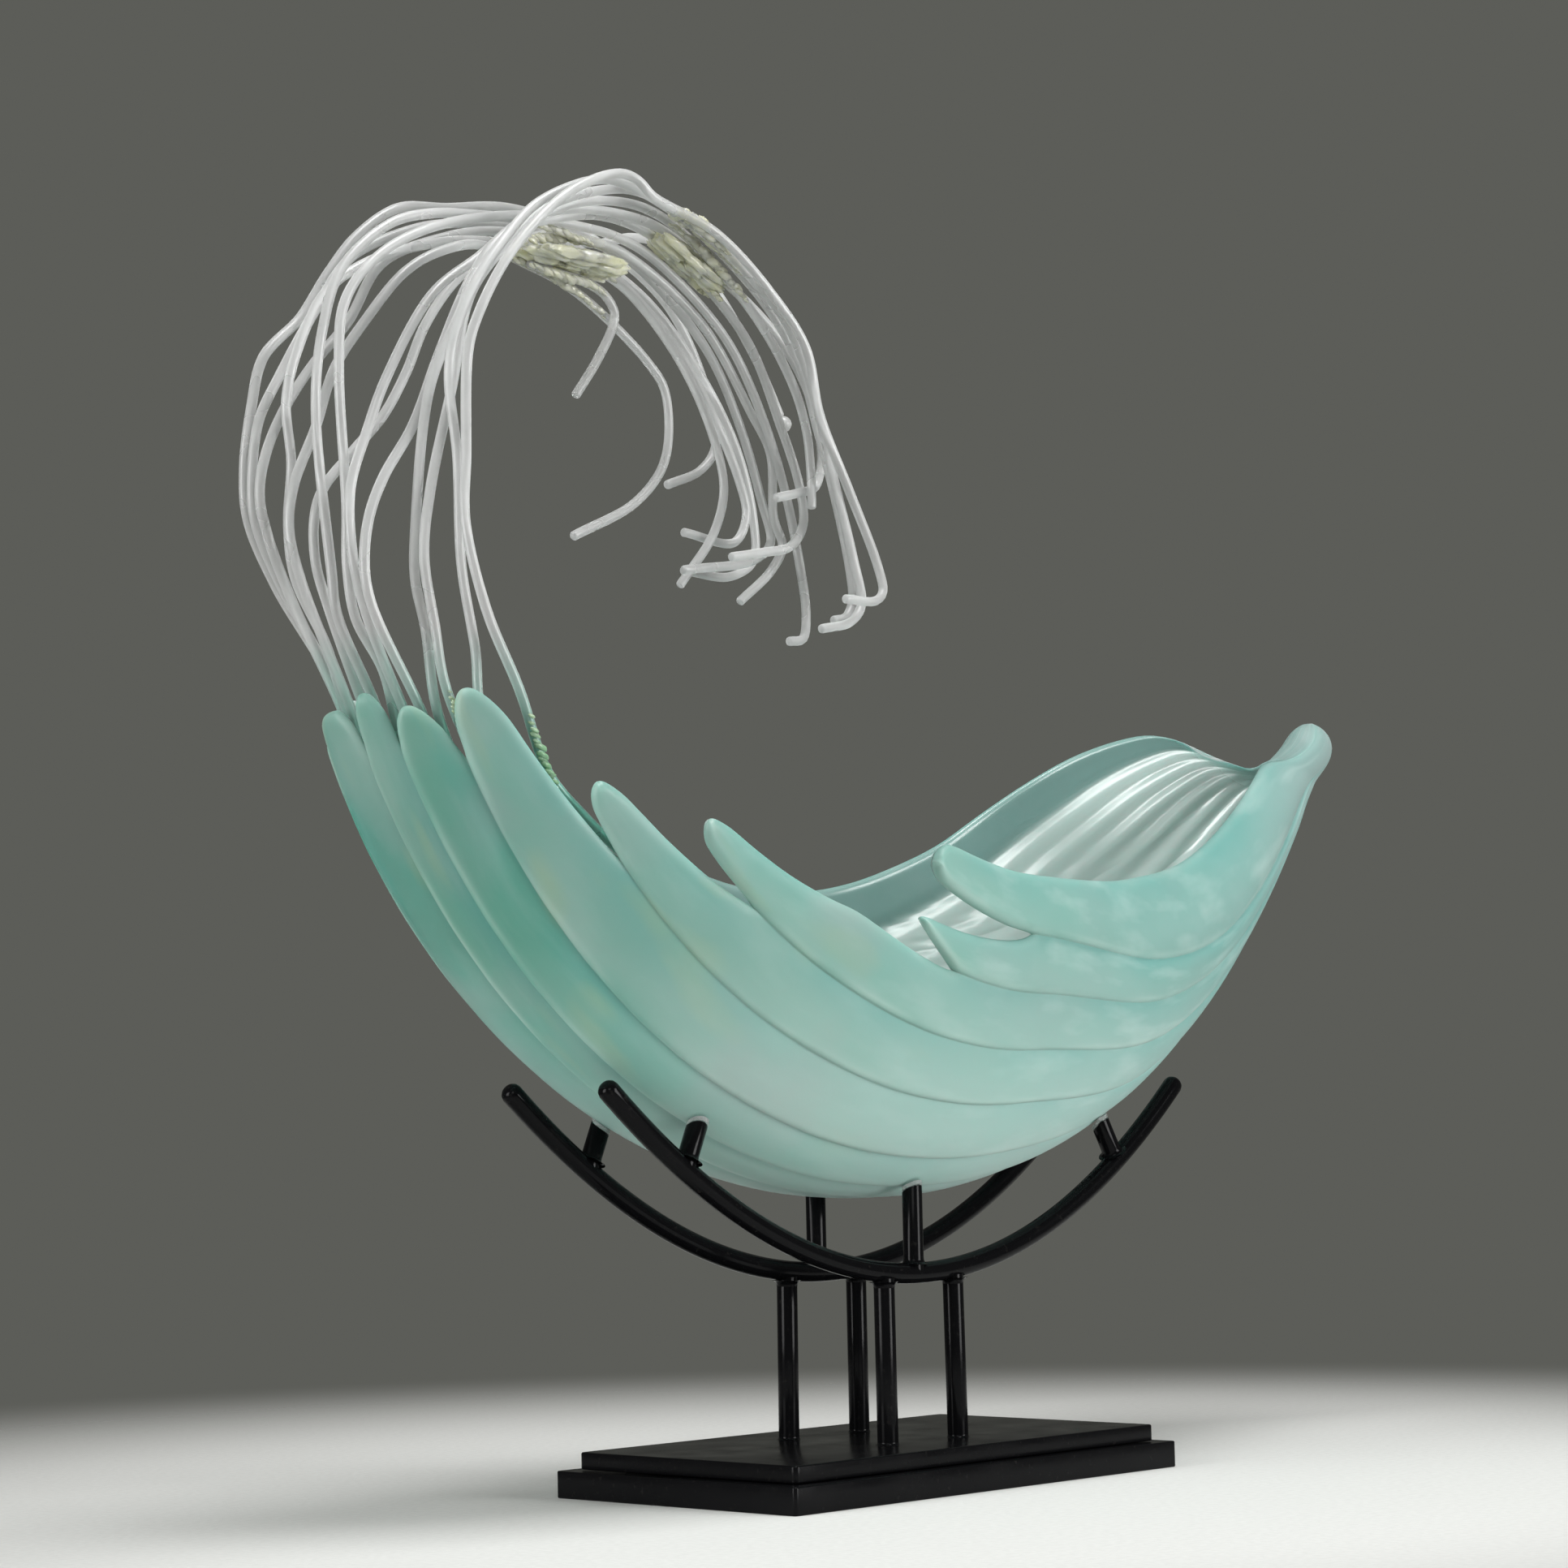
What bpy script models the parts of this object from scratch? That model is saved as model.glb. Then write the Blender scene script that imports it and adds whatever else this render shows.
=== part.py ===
"""A glass wave sculpture: a trough-shaped shell of fused glass ribs with open finger ends and a plume of
bent glass rods, resting in a welded black steel cradle on a stepped base.

The frame stands on the table: +Z is up, +X runs along the base towards the shell's prow, and -Y is the
side that a viewer sees. Sizes are written in millimetres and turned into metres by MM.
"""
import math

import bmesh
import bpy
import numpy as np
from mathutils import Vector
from mathutils.bvhtree import BVHTree

MM = 0.001
GAP = 0.3                       # clearance between pieces that touch

# Base: two plates, one on the other
LOWER_PLATE = (259.0, 147.0, 12.0)
UPPER_PLATE = (243.5, 133.0, 7.6)
PLATE_EDGE_ROUND = 0.7
LOWER_PLATE_CORNER_ROUND = 1.8
UPPER_PLATE_CORNER_ROUND = 2.5

# Frame: four leaning posts carry two bent rods, and each bent rod carries three stubs
STEEL_ROD_DIAMETER = 9.5
POST_SPACING_X = 47.6
CRADLE_SPACING_Y = 61.0
POST_SPLAY = 0.985              # how far in the post tops stand, as a share of the feet
CRADLE_LOW_POINT_Z = 95.0       # centre line of a bent rod at its lowest
CRADLE_HALF_SPAN = 191.5
CRADLE_RISE = 83.5              # height of the rod's ends over its low point
STUB_DIAMETER = 9.2
STUB_FEET = (-0.773, -0.016, 0.757)     # as shares of the half span
STUB_FOOT_CLEARANCE = 0.8
STUB_LEAN = (24.0, 0.0, -31.0)  # degrees from upright, towards the middle
PAD_THICKNESS = 1.8
PAD_CLEARANCE = 0.65            # between a pad and the glass over it
POST_TOP_CLEARANCE = 0.7

# Glass shell, in polar form about a level line over the base: angles run from the prow, under the keel,
# to the finger tips
SHELL_CENTRE_Z = 410.0
SHELL_THICKNESS = 8.0
GROOVE_DEPTH = 2.0
SLIT_HALF_ANGLE = 0.42          # half a slit's width between two fingers, in degrees across the shell
SHELL_SECTIONS = (
    # angle, keel radius, near half width, far half width, near depth, far depth, far rim's lead in degrees
    (6.05, 366.0, 2.4, 2.4, 4.0, 3.5, 0.0),
    (6.3, 371.0, 5.8, 5.8, 10.0, 9.0, 0.0),
    (6.8, 376.0, 9.3, 9.3, 17.0, 15.0, 0.0),
    (8.2, 379.5, 12.0, 12.0, 25.0, 22.0, 0.0),
    (9.6, 374.0, 14.0, 14.0, 31.0, 23.5, 0.0),
    (11.0, 366.0, 16.0, 17.0, 38.0, 29.0, 0.0),
    (11.4, 364.5, 17.0, 20.8, 44.0, 40.8, 0.15),
    (11.8, 363.2, 18.3, 24.0, 48.5, 51.0, 0.6),
    (12.3, 361.3, 19.9, 27.5, 51.0, 62.5, 1.6),
    (13.0, 358.7, 21.9, 31.0, 53.5, 73.5, 2.75),
    (13.9, 355.6, 24.1, 34.0, 55.0, 82.2, 3.4),
    (15.2, 352.5, 26.9, 37.5, 57.9, 90.4, 3.7),
    (17.0, 347.6, 30.5, 41.5, 60.9, 99.7, 3.6),
    (19.5, 341.2, 35.1, 47.0, 64.8, 109.5, 3.0),
    (23.0, 333.1, 41.2, 54.5, 70.2, 115.0, 2.1),
    (30.0, 319.2, 52.0, 69.5, 79.9, 117.1, 0.7),
    (37.0, 308.7, 61.6, 76.0, 89.7, 116.9, 0.0),
    (45.0, 299.9, 71.0, 80.0, 101.6, 119.1, 0.0),
    (60.0, 289.8, 85.0, 88.0, 117.2, 123.2, 0.0),
    (90.0, 282.0, 93.0, 93.0, 134.0, 134.0, 0.0),
    (120.0, 290.0, 96.0, 96.0, 154.0, 154.0, 0.0),
    (150.0, 306.0, 95.0, 95.0, 165.0, 165.0, 0.0),
    (168.0, 318.0, 89.0, 89.0, 168.0, 168.0, 0.0),
)
GROOVE_ANGLES = (-97.0, -84.0, -72.0, -59.5, -46.0, -29.0, -15.0, -4.0,
                 22.0, 33.0, 43.5, 54.5, 65.5, 76.0, 87.0, 98.0)
TWIST_FROM = 115.0              # past this angle the grooves drift towards the far side
TWIST_RATE = 0.05
GATHER_FROM = 83.0              # before this angle the grooves gather towards the keel, the low ones quickest
GATHER_RATE = 0.65
GATHER_LEAST = 32.0             # degrees over which a low groove gathers
GATHER_LOW = 42.0               # a groove further out than this gathers over more degrees
GATHER_SPREAD = 0.68
RIB_TIPS = (
    # angle along, angle across, degrees over which the end is rounded; then for the upper edge and for the
    # lower: degrees before the tip at which it leaves its groove, how it curves in (1 is straight) and the
    # share of the width that it gives up before the rounded end
    (111.0, -88.0, 4.0, 36.0, 1.5, 0.55, 22.0, 1.0, 0.25),
    (110.5, -77.5, 2.0, 26.5, 0.55, 0.97, 9.5, 1.0, 0.95),
    (146.0, -61.6, 3.5, 24.5, 1.0, 0.82, 10.0, 1.0, 0.05),
    (155.0, -47.9, 3.0, 20.5, 1.0, 0.8, 7.0, 1.0, 0.05),
    (166.0, -31.5, 3.0, 18.5, 1.15, 0.66, 5.0, 1.0, 0.05),
    (165.5, -17.0, 2.2, 5.0, 1.0, 0.5, 5.0, 1.0, 0.05),
    (167.0, -5.5, 2.2, 6.0, 1.0, 0.1, 5.0, 1.0, 0.05),
    (166.0, 7.0, 2.5, 5.5, 1.0, 0.3, 5.0, 1.0, 0.1),
    (163.5, 27.0, 2.5, 4.0, 1.0, 0.1, 7.0, 1.0, 0.3),
    (164.5, 38.0, 2.5, 4.0, 1.0, 0.1, 7.0, 1.0, 0.1),
    (166.0, 48.0, 2.5, 8.0, 1.0, 0.2, 12.0, 1.0, 0.5),
    (160.5, 59.0, 2.5, 6.0, 1.0, 0.1, 20.0, 1.1, 0.7),
    (151.0, 70.5, 3.0, 8.0, 1.0, 0.1, 20.0, 1.0, 0.8),
    (138.0, 81.0, 3.5, 10.0, 1.0, 0.05, 24.0, 1.0, 0.8),
    (118.0, 91.0, 4.0, 12.0, 1.0, 0.2, 36.0, 1.5, 0.5),
)
SLIT_ENDS = (84.0, 101.0, 134.5, 147.5, 160.5, 160.5, 160.5, 160.5, 154.0, 154.0, 154.0, 141.0, 126.0, 101.0)
STATIONS = (6.05, 6.3, 6.8, 8.2, 9.6, 11.0, 11.4, 12.0, 13.0, 14.6, 17.4, 22.0, 28.5, 36.5, 45.0, 54.0, 62.0,
            70.0, 77.0, 84.0, 92.5, 101.0, 109.5, 118.0, 126.0, 134.5, 141.0, 147.5, 154.0, 160.5, 163.5)
TIP_STEPS = (1.1, 0.0)          # degrees before a finger's tip at which it gets its own points
TIP_CLEAR = 2.2                 # and the shared angles stop this far before the tip
TIP_BLUNT = 0.08                # a finger's end keeps this share of the rib's width
SOLID_PROW_TO = 11.0            # up to this angle the prow is solid, with a rounded back
PROW_BACK_BULGE = 6.0
PROW_BACK_FROM = 10.0           # the bulge is smaller where the prow is narrower than this
NARROW_UP_TO = 14.0             # in the narrow prow the wall's thickness is laid off from the keel's centre
NARROW_FADE = 12.0
GROOVES_FROM = 9.5              # the prow's tip is smooth, and the grooves fade in over the next few degrees
GROOVES_OVER = 6.0
RIB_COLUMNS = (0.0, 0.16, 0.5, 0.84, 1.0)

# Glass rods: each keeps to its own lane over the curl, one pitch from the next
GLASS_ROD_DIAMETER = 4.4
ROD_LANE_PITCH = 5.0
ROD_SIDES = 6
ROD_RING_STEP = 21.0
ROD_SEAT = 0.9                  # clearance under a rod's foot, which lies along the shell's inner face
FAN_SHARE = 0.45                # how much wider the lanes stand at the hooks than at the crown
FAN_FROM = 60.0                 # height over the shell's centre line at which the lanes start to fan out
FAN_OVER = 150.0
LANES_LEFT_OF = -190.0          # left of this x a rod leaves its foot's own place for its lane
LANES_FROM = 70.0
LANES_OVER = 140.0

# Lane of each rod, its foot on the shell (angle along, angle across), then the points it bends through
# as (x, height over the shell's centre line)
GLASS_RODS = (
    (-8.5, ((127, -50.5), (138, -49), (147, -46), (152, -43.3), (157, -41)),
     ((-258, -70), (-274, -39), (-282, -3), (-279, 24), (-275, 69), (-269, 85), (-251, 113),
      (-218, 144), (-188, 158), (-177, 157), (-168, 151), (-129, 141), (-96, 120), (-74, 98), (-66, 69),
      (-49, 36), (-37, 4), (-36, -9), (-42, -14), (-62, -15))),
    (-7.5, ((134, -37.5), (147, -37), (155, -35.5), (163, -33)),
     ((-272, -53), (-278, -19), (-278, 25), (-281, 62), (-270, 93), (-248, 122),
      (-230, 139), (-194, 155), (-177, 155), (-141, 145), (-116, 134), (-81, 109), (-64, 78), (-54, 46),
      (-46, 5), (-45, -15), (-54, -24), (-74, -29))),
    (-6.5, ((142, -28.5), (153, -28.5), (166, -27.5)),
     ((-287, -44), (-292, -16), (-288, 11), (-275, 56), (-264, 96), (-237, 126), (-218, 141),
      (-175, 155), (-153, 153), (-131, 144), (-91, 119), (-68, 93), (-57, 65), (-47, 32), (-43, 2),
      (-44, -13), (-50, -21), (-58, -23))),
    (-5.5, ((141, -24), (152, -24), (164, -23.5)),
     ((-288, -45), (-293, -25), (-292, -2), (-283, 54), (-265, 90), (-258, 105), (-225, 134),
      (-204, 144), (-180, 150), (-156, 150), (-131, 141), (-91, 113), (-68, 86), (-59, 65), (-57, 43),
      (-58, 30))),
    (-4.5, ((143, -19.5), (153, -19.5), (165, -19.5)),
     ((-312, -36), (-315, -20), (-312, -1), (-304, 16), (-288, 39), (-274, 69), (-256, 104),
      (-242, 122), (-223, 136), (-199, 144), (-171, 147), (-146, 145), (-121, 135), (-78, 112), (-57, 92),
      (-47, 73), (-44, 55), (-49, 41), (-60, 37), (-75, 33))),
    (-3.5, ((143, -15), (153, -15), (164, -15)),
     ((-311, -37), (-317, -13), (-317, 11), (-308, 35), (-297, 59), (-272, 97), (-246, 117),
      (-228, 131), (-204, 140), (-176, 146), (-151, 144), (-126, 134), (-86, 104), (-66, 69), (-54, 41),
      (-53, 24), (-62, 13), (-81, 8), (-101, 4))),
    (-2.5, ((144, -10.5), (154, -10.5), (163, -10.5)),
     ((-297, -61), (-311, -41), (-315, -21), (-315, 5), (-318, 61), (-315, 87), (-299, 108), (-269, 126),
      (-218, 140), (-190, 141), (-161, 140), (-137, 133), (-94, 104), (-71, 70), (-58, 38), (-51, 5),
      (-49, -16), (-52, -28), (-61, -30))),
    (-1.5, ((144, -5), (154, -5), (166.5, -5)),
     ((-315, -39), (-318, -21), (-326, 45), (-322, 77), (-312, 103), (-286, 126), (-264, 134),
      (-237, 138), (-209, 140), (-181, 138), (-152, 135), (-104, 110), (-74, 74), (-62, 57), (-61, 27),
      (-56, 15), (-64, 3), (-85, -13))),
    (-0.5, ((145, 0.5), (155, 0.5), (166.5, 0.5)),
     ((-314, -36), (-321, -18), (-322, 0), (-318, 12), (-303, 29), (-286, 47), (-274, 66),
      (-263, 88), (-244, 111), (-214, 130), (-190, 138), (-161, 138), (-137, 131), (-97, 101), (-77, 70),
      (-63, 35), (-58, 17), (-69, 8), (-114, -1))),
    (0.5, (),
     ((-199, 125), (-181, 123), (-167, 122), (-155, 118), (-149, 111), (-150, 105), (-160, 88), (-173, 71))),
    (1.5, ((146, 8.5), (156, 8.5), (166, 8.5)),
     ((-321, -23), (-327, -3), (-325, 14), (-314, 39), (-304, 65), (-287, 88), (-265, 112),
      (-245, 124), (-224, 130), (-196, 126), (-172, 120), (-147, 108), (-123, 92), (-114, 82), (-112, 60),
      (-117, 45), (-134, 28), (-170, 10))),
    (2.5, ((146, 13.5), (156, 13.5), (165, 13.5)),
     ((-302, -49), (-319, -22), (-323, -1), (-322, 25), (-325, 50), (-318, 74), (-304, 98), (-280, 115),
      (-242, 129), (-215, 134), (-186, 136), (-157, 133), (-133, 126), (-100, 99), (-80, 69), (-72, 43),
      (-78, 22), (-99, -4))),
    (3.5, ((146, 18.5), (156, 18.5), (166, 18.5)),
     ((-316, -30), (-329, -5), (-334, 11), (-331, 28), (-321, 49), (-307, 68), (-288, 89),
      (-270, 116), (-233, 134), (-205, 141), (-177, 142), (-148, 138), (-103, 111), (-75, 79), (-57, 49),
      (-52, 33), (-59, 20), (-92, 21))),
    (4.5, ((146, 23.5), (156, 23.5), (168, 23)),
     ((-318, -23), (-332, 2), (-334, 19), (-331, 42), (-320, 63), (-301, 93), (-283, 117),
      (-247, 136), (-220, 143), (-187, 147), (-157, 144), (-110, 126), (-75, 95), (-53, 64), (-42, 33),
      (-41, 14), (-56, 5), (-86, 5))),
    (5.5, ((146, 28.5), (156, 28.5), (167.5, 28.5)),
     ((-316, -22), (-331, 3), (-334, 23), (-331, 48), (-325, 70), (-305, 90), (-291, 110),
      (-275, 129), (-252, 145), (-224, 150), (-191, 156), (-162, 155), (-133, 149), (-90, 126), (-66, 88),
      (-62, 65), (-72, 53), (-93, 44))),
    (6.5, (),
     ((-168, 154), (-134, 150), (-108, 157), (-87, 157), (-71, 151), (-55, 141), (-32, 116), (-22, 102),
      (-13, 87))),
)

# Lumps of set adhesive that hold the bundle: centre (x, lane, height), half sizes along, across (in lanes)
# and through the bundle, and slope in degrees
GLUE_LUMPS = (
    ((-178.0, -0.4, 129.0), (30.0, 3.0, 6.0), 1.0),
    ((-126.0, -4.0, 133.0), (26.0, 1.8, 5.0), 25.0),
    ((-143.0, -7.6, 147.0), (9.0, 1.3, 4.0), 12.0),
)
GLUE_CUT_X = (-235.0, -70.0)    # the rods are cut out of the lumps between these places
GLUE_CUT_ABOVE = 85.0
GLUE_CLEARANCE = 0.24
END_BEAD_DIAMETER = 8.0         # a melted bead on the end of the last rod


def material(name, colour, roughness, metallic=0.0, transmission=0.0, ior=1.5):
    made = bpy.data.materials.new(name)
    made.use_nodes = True
    shader = made.node_tree.nodes["Principled BSDF"]
    shader.inputs["Base Color"].default_value = (*colour, 1.0)
    shader.inputs["Roughness"].default_value = roughness
    shader.inputs["Metallic"].default_value = metallic
    shader.inputs["Transmission Weight"].default_value = transmission
    shader.inputs["IOR"].default_value = ior
    return made


def add_object(name, mesh, made_of):
    mesh.materials.append(made_of)
    mesh.shade_smooth()
    mesh.set_sharp_from_angle(angle=math.radians(40))
    obj = bpy.data.objects.new(name, mesh)
    bpy.context.scene.collection.objects.link(obj)
    return obj


def mesh_from(name, points, faces):
    """A mesh from points in millimetres, with its faces turned outwards."""
    mesh = bpy.data.meshes.new(name)
    mesh.from_pydata([tuple(c * MM for c in p) for p in points], [], faces)
    shape = bmesh.new()
    shape.from_mesh(mesh)
    bmesh.ops.recalc_face_normals(shape, faces=shape.faces)
    if shape.calc_volume(signed=True) < 0:
        bmesh.ops.reverse_faces(shape, faces=shape.faces)
    shape.to_mesh(mesh)
    shape.free()
    return mesh


def plate(name, size, bottom_z, corner_round, made_of):
    """A rectangular plate with its upright corners rounded and its other edges eased."""
    length, width, height = size
    shape = bmesh.new()
    bmesh.ops.create_cube(shape, size=1.0)
    bmesh.ops.scale(shape, vec=Vector((length, width, height)) * MM, verts=shape.verts)
    upright = [e for e in shape.edges if abs(e.verts[0].co.z - e.verts[1].co.z) > height * MM / 2]
    bmesh.ops.bevel(shape, geom=upright, offset=corner_round * MM, segments=3, affect="EDGES", profile=0.5)
    level = [e for e in shape.edges if abs(e.verts[0].co.z - e.verts[1].co.z) < 1e-7
             and len(e.link_faces) == 2 and abs(e.calc_face_angle()) > math.radians(60)]
    bmesh.ops.bevel(shape, geom=level, offset=PLATE_EDGE_ROUND * MM, segments=2, affect="EDGES", profile=0.5)
    mesh = bpy.data.meshes.new(name)
    shape.to_mesh(mesh)
    shape.free()
    obj = add_object(name, mesh, made_of)
    obj.location = (0.0, 0.0, (bottom_z + height / 2) * MM)
    return obj


def smooth_route(points, step):
    """A smooth curve through the points (a centripetal spline), with a point about every step."""
    points = [np.array(p, float) for p in points]
    ends = [2 * points[0] - points[1]] + points + [2 * points[-1] - points[-2]]
    route = []
    for p0, p1, p2, p3 in zip(ends, ends[1:], ends[2:], ends[3:]):
        k0 = 0.0
        k1 = k0 + max(np.linalg.norm(p1 - p0), 1e-6) ** 0.5
        k2 = k1 + max(np.linalg.norm(p2 - p1), 1e-6) ** 0.5
        k3 = k2 + max(np.linalg.norm(p3 - p2), 1e-6) ** 0.5
        count = max(1, round(float(np.linalg.norm(p2 - p1)) / step))
        for i in range(count):
            k = k1 + (k2 - k1) * i / count
            a1 = (k1 - k) / (k1 - k0) * p0 + (k - k0) / (k1 - k0) * p1
            a2 = (k2 - k) / (k2 - k1) * p1 + (k - k1) / (k2 - k1) * p2
            a3 = (k3 - k) / (k3 - k2) * p2 + (k - k2) / (k3 - k2) * p3
            b1 = (k2 - k) / (k2 - k0) * a1 + (k - k0) / (k2 - k0) * a2
            b2 = (k3 - k) / (k3 - k1) * a2 + (k - k1) / (k3 - k1) * a3
            route.append((k2 - k) / (k2 - k1) * b1 + (k - k1) / (k2 - k1) * b2)
    route.append(points[-1])
    return route


def round_bar(name, route, diameter, sides, made_of, domed=True):
    """A bar of round section swept along a route, with melted or dressed round ends."""
    route = [np.array(p, float) for p in route]
    radius = diameter / 2
    tangents = []
    for i in range(len(route)):
        along = route[min(i + 1, len(route) - 1)] - route[max(i - 1, 0)]
        tangents.append(along / np.linalg.norm(along))
    rings = [(p, t, radius) for p, t in zip(route, tangents)]
    if domed:
        for ratio, reach in ((0.72, 0.62), (0.3, 0.92)):
            rings.insert(0, (route[0] - tangents[0] * radius * reach, tangents[0], radius * ratio))
            rings.append((route[-1] + tangents[-1] * radius * reach, tangents[-1], radius * ratio))
    side = np.cross(tangents[0], (0.0, 1.0, 0.0))
    if np.linalg.norm(side) < 0.1:
        side = np.cross(tangents[0], (1.0, 0.0, 0.0))
    points, faces = [], []
    for centre, along, size in rings:
        side = side - along * float(side @ along)
        side = side / np.linalg.norm(side)
        other = np.cross(along, side)
        for k in range(sides):
            turn = 2 * math.pi * (k + 0.5) / sides
            points.append(centre + size * (math.cos(turn) * side + math.sin(turn) * other))
    for i in range(len(rings) - 1):
        for k in range(sides):
            a, b = i * sides + k, i * sides + (k + 1) % sides
            faces.append((a, b, b + sides, a + sides))
    faces.append(tuple(range(sides - 1, -1, -1)))
    faces.append(tuple(range((len(rings) - 1) * sides, len(rings) * sides)))
    return add_object(name, mesh_from(name, points, faces), made_of)


def cradle_height(x):
    """Centre line height of a bent steel rod."""
    return CRADLE_LOW_POINT_Z + CRADLE_RISE * (x / CRADLE_HALF_SPAN) ** 2


def eased(table, at):
    """Reads a table by its first column, with smooth slopes at its rows (a cubic Hermite curve)."""
    rows = np.array(table, float)
    keys = rows[:, 0]
    at = min(max(at, keys[0]), keys[-1])
    i = int(min(np.searchsorted(keys, at, side="right") - 1, len(keys) - 2))

    def slope(j):
        if j in (0, len(keys) - 1):
            k = 0 if j == 0 else j - 1
            return (rows[k + 1, 1:] - rows[k, 1:]) / (keys[k + 1] - keys[k])
        before = (rows[j, 1:] - rows[j - 1, 1:]) / (keys[j] - keys[j - 1])
        after = (rows[j + 1, 1:] - rows[j, 1:]) / (keys[j + 1] - keys[j])
        share = (keys[j] - keys[j - 1]) / (keys[j + 1] - keys[j - 1])
        return before * (1 - share) + after * share

    span = keys[i + 1] - keys[i]
    u = (at - keys[i]) / span
    return ((2 * u**3 - 3 * u**2 + 1) * rows[i, 1:] + (u**3 - 2 * u**2 + u) * span * slope(i)
            + (3 * u**2 - 2 * u**3) * rows[i + 1, 1:] + (u**3 - u**2) * span * slope(i + 1))


def shell_skin(along, across):
    """The shell's outer face, before ribs: along and across in degrees."""
    keel, near_width, far_width, near_depth, far_depth, far_lead = eased(SHELL_SECTIONS, along)
    near_side = across < 0
    width, depth, lead = (near_width, near_depth, 0.0) if near_side else (far_width, far_depth, far_lead)
    p = math.radians(across)
    rise = 1 - math.cos(p)
    t = math.radians(along - lead * rise / (1 - math.cos(math.radians(GROOVE_ANGLES[-1]))))
    radius = keel - depth * rise
    return np.array((radius * math.cos(t), width * math.sin(p), SHELL_CENTRE_Z - radius * math.sin(t)))


def shell_normal(along, across):
    """Outward direction of the shell's face, in the plane of its cross-section."""
    t = math.radians(along)
    d_across = shell_skin(along, across + 0.5) - shell_skin(along, across - 0.5)
    normal = np.cross((-math.sin(t), 0.0, -math.cos(t)), d_across)
    return normal / np.linalg.norm(normal)


def wall_normal(along, across):
    """Direction in which the wall's thickness is laid off: in the narrow prow it fans out evenly."""
    square = shell_normal(along, across)
    share = ease((along - NARROW_UP_TO) / NARROW_FADE)
    t, p = math.radians(along), math.radians(across)
    fanned = np.array((math.cos(p) * math.cos(t), math.sin(p), -math.cos(p) * math.sin(t)))
    normal = square * share + fanned * (1 - share)
    return normal / np.linalg.norm(normal)


def groove(j, along):
    """Angle across the shell of groove j: the rims keep theirs, and the rest gather towards the keel."""
    own = GROOVE_ANGLES[j] + max(0.0, along - TWIST_FROM) * TWIST_RATE
    if j in (0, len(GROOVE_ANGLES) - 1):
        return own
    reach = GATHER_LEAST + max(0.0, abs(GROOVE_ANGLES[j]) - GATHER_LOW) * GATHER_SPREAD
    ahead = max(0.0, GATHER_FROM - along) / reach
    return own / (1 + GATHER_RATE * ahead * ahead)


def rib_stations(k):
    """Angles along rib k: the shared stations, then a few of its own that round its tip."""
    tip = RIB_TIPS[k][0]
    shared = [a for a in STATIONS if a <= tip - TIP_CLEAR]
    return shared + [tip - step for step in TIP_STEPS]


def ease(share):
    share = min(max(share, 0.0), 1.0)
    return share * share * (3 - 2 * share)


def finger_edge(k, edge, along):
    """Angle across the shell of rib k's upper (0) or lower (1) edge."""
    count = len(RIB_TIPS)
    own = groove(k + edge, along)
    at_rim = (k == 0 and edge == 0) or (k == count - 1 and edge == 1)
    tip_along, tip_across, rounding = RIB_TIPS[k][:3]
    closing, curve, given_up = RIB_TIPS[k][3 + 3 * edge:6 + 3 * edge]
    start = tip_along - closing
    if not at_rim:
        start = max(start, SLIT_ENDS[k - 1 + edge])
        if along > SLIT_ENDS[k - 1 + edge]:
            own += SLIT_HALF_ANGLE * (1 if edge == 0 else -1)
    reach = min(max((along - start) / (tip_along - start), 0.0), 1.0)
    into_end = min(max(1 - (tip_along - along) / rounding, 0.0), 1.0)
    share = (1 - given_up * reach ** curve) * math.sqrt(1 - into_end * into_end)
    share = TIP_BLUNT + (1 - TIP_BLUNT) * share
    return tip_across + (own - tip_across) * share


def shell_points(k, along, outer):
    """The five points across rib k at one angle along the shell, on its outer or inner face."""
    upper, lower = finger_edge(k, 0, along), finger_edge(k, 1, along)
    near_rim, far_rim = shell_skin(along, groove(0, along)), shell_skin(along, groove(len(RIB_TIPS), along))
    t = math.radians(along)
    inward = np.array((-math.cos(t), 0.0, math.sin(t)))
    gathered = (groove(k + 1, along) - groove(k, along)) / (GROOVE_ANGLES[k + 1] - GROOVE_ANGLES[k])
    depth = GROOVE_DEPTH * min(1.0, gathered) * ease((along - GROOVES_FROM) / GROOVES_OVER)
    back_bulge = PROW_BACK_BULGE * min(1.0, abs(float(near_rim[1])) / PROW_BACK_FROM)
    points = []
    for column in RIB_COLUMNS:
        across = upper + (lower - upper) * column
        skin = shell_skin(along, across)
        normal = wall_normal(along, across)
        dip = depth * (1 - math.sin(math.pi * column)) ** 2
        if outer:
            points.append(skin - normal * dip)
        elif along <= SOLID_PROW_TO:
            share = (across - groove(0, along)) / (groove(len(RIB_TIPS), along) - groove(0, along))
            bulge = 0.6 + back_bulge * math.sin(math.pi * share)
            points.append(near_rim + (far_rim - near_rim) * share + inward * bulge)
        else:
            points.append(skin - normal * (SHELL_THICKNESS - dip))
    return points


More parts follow.
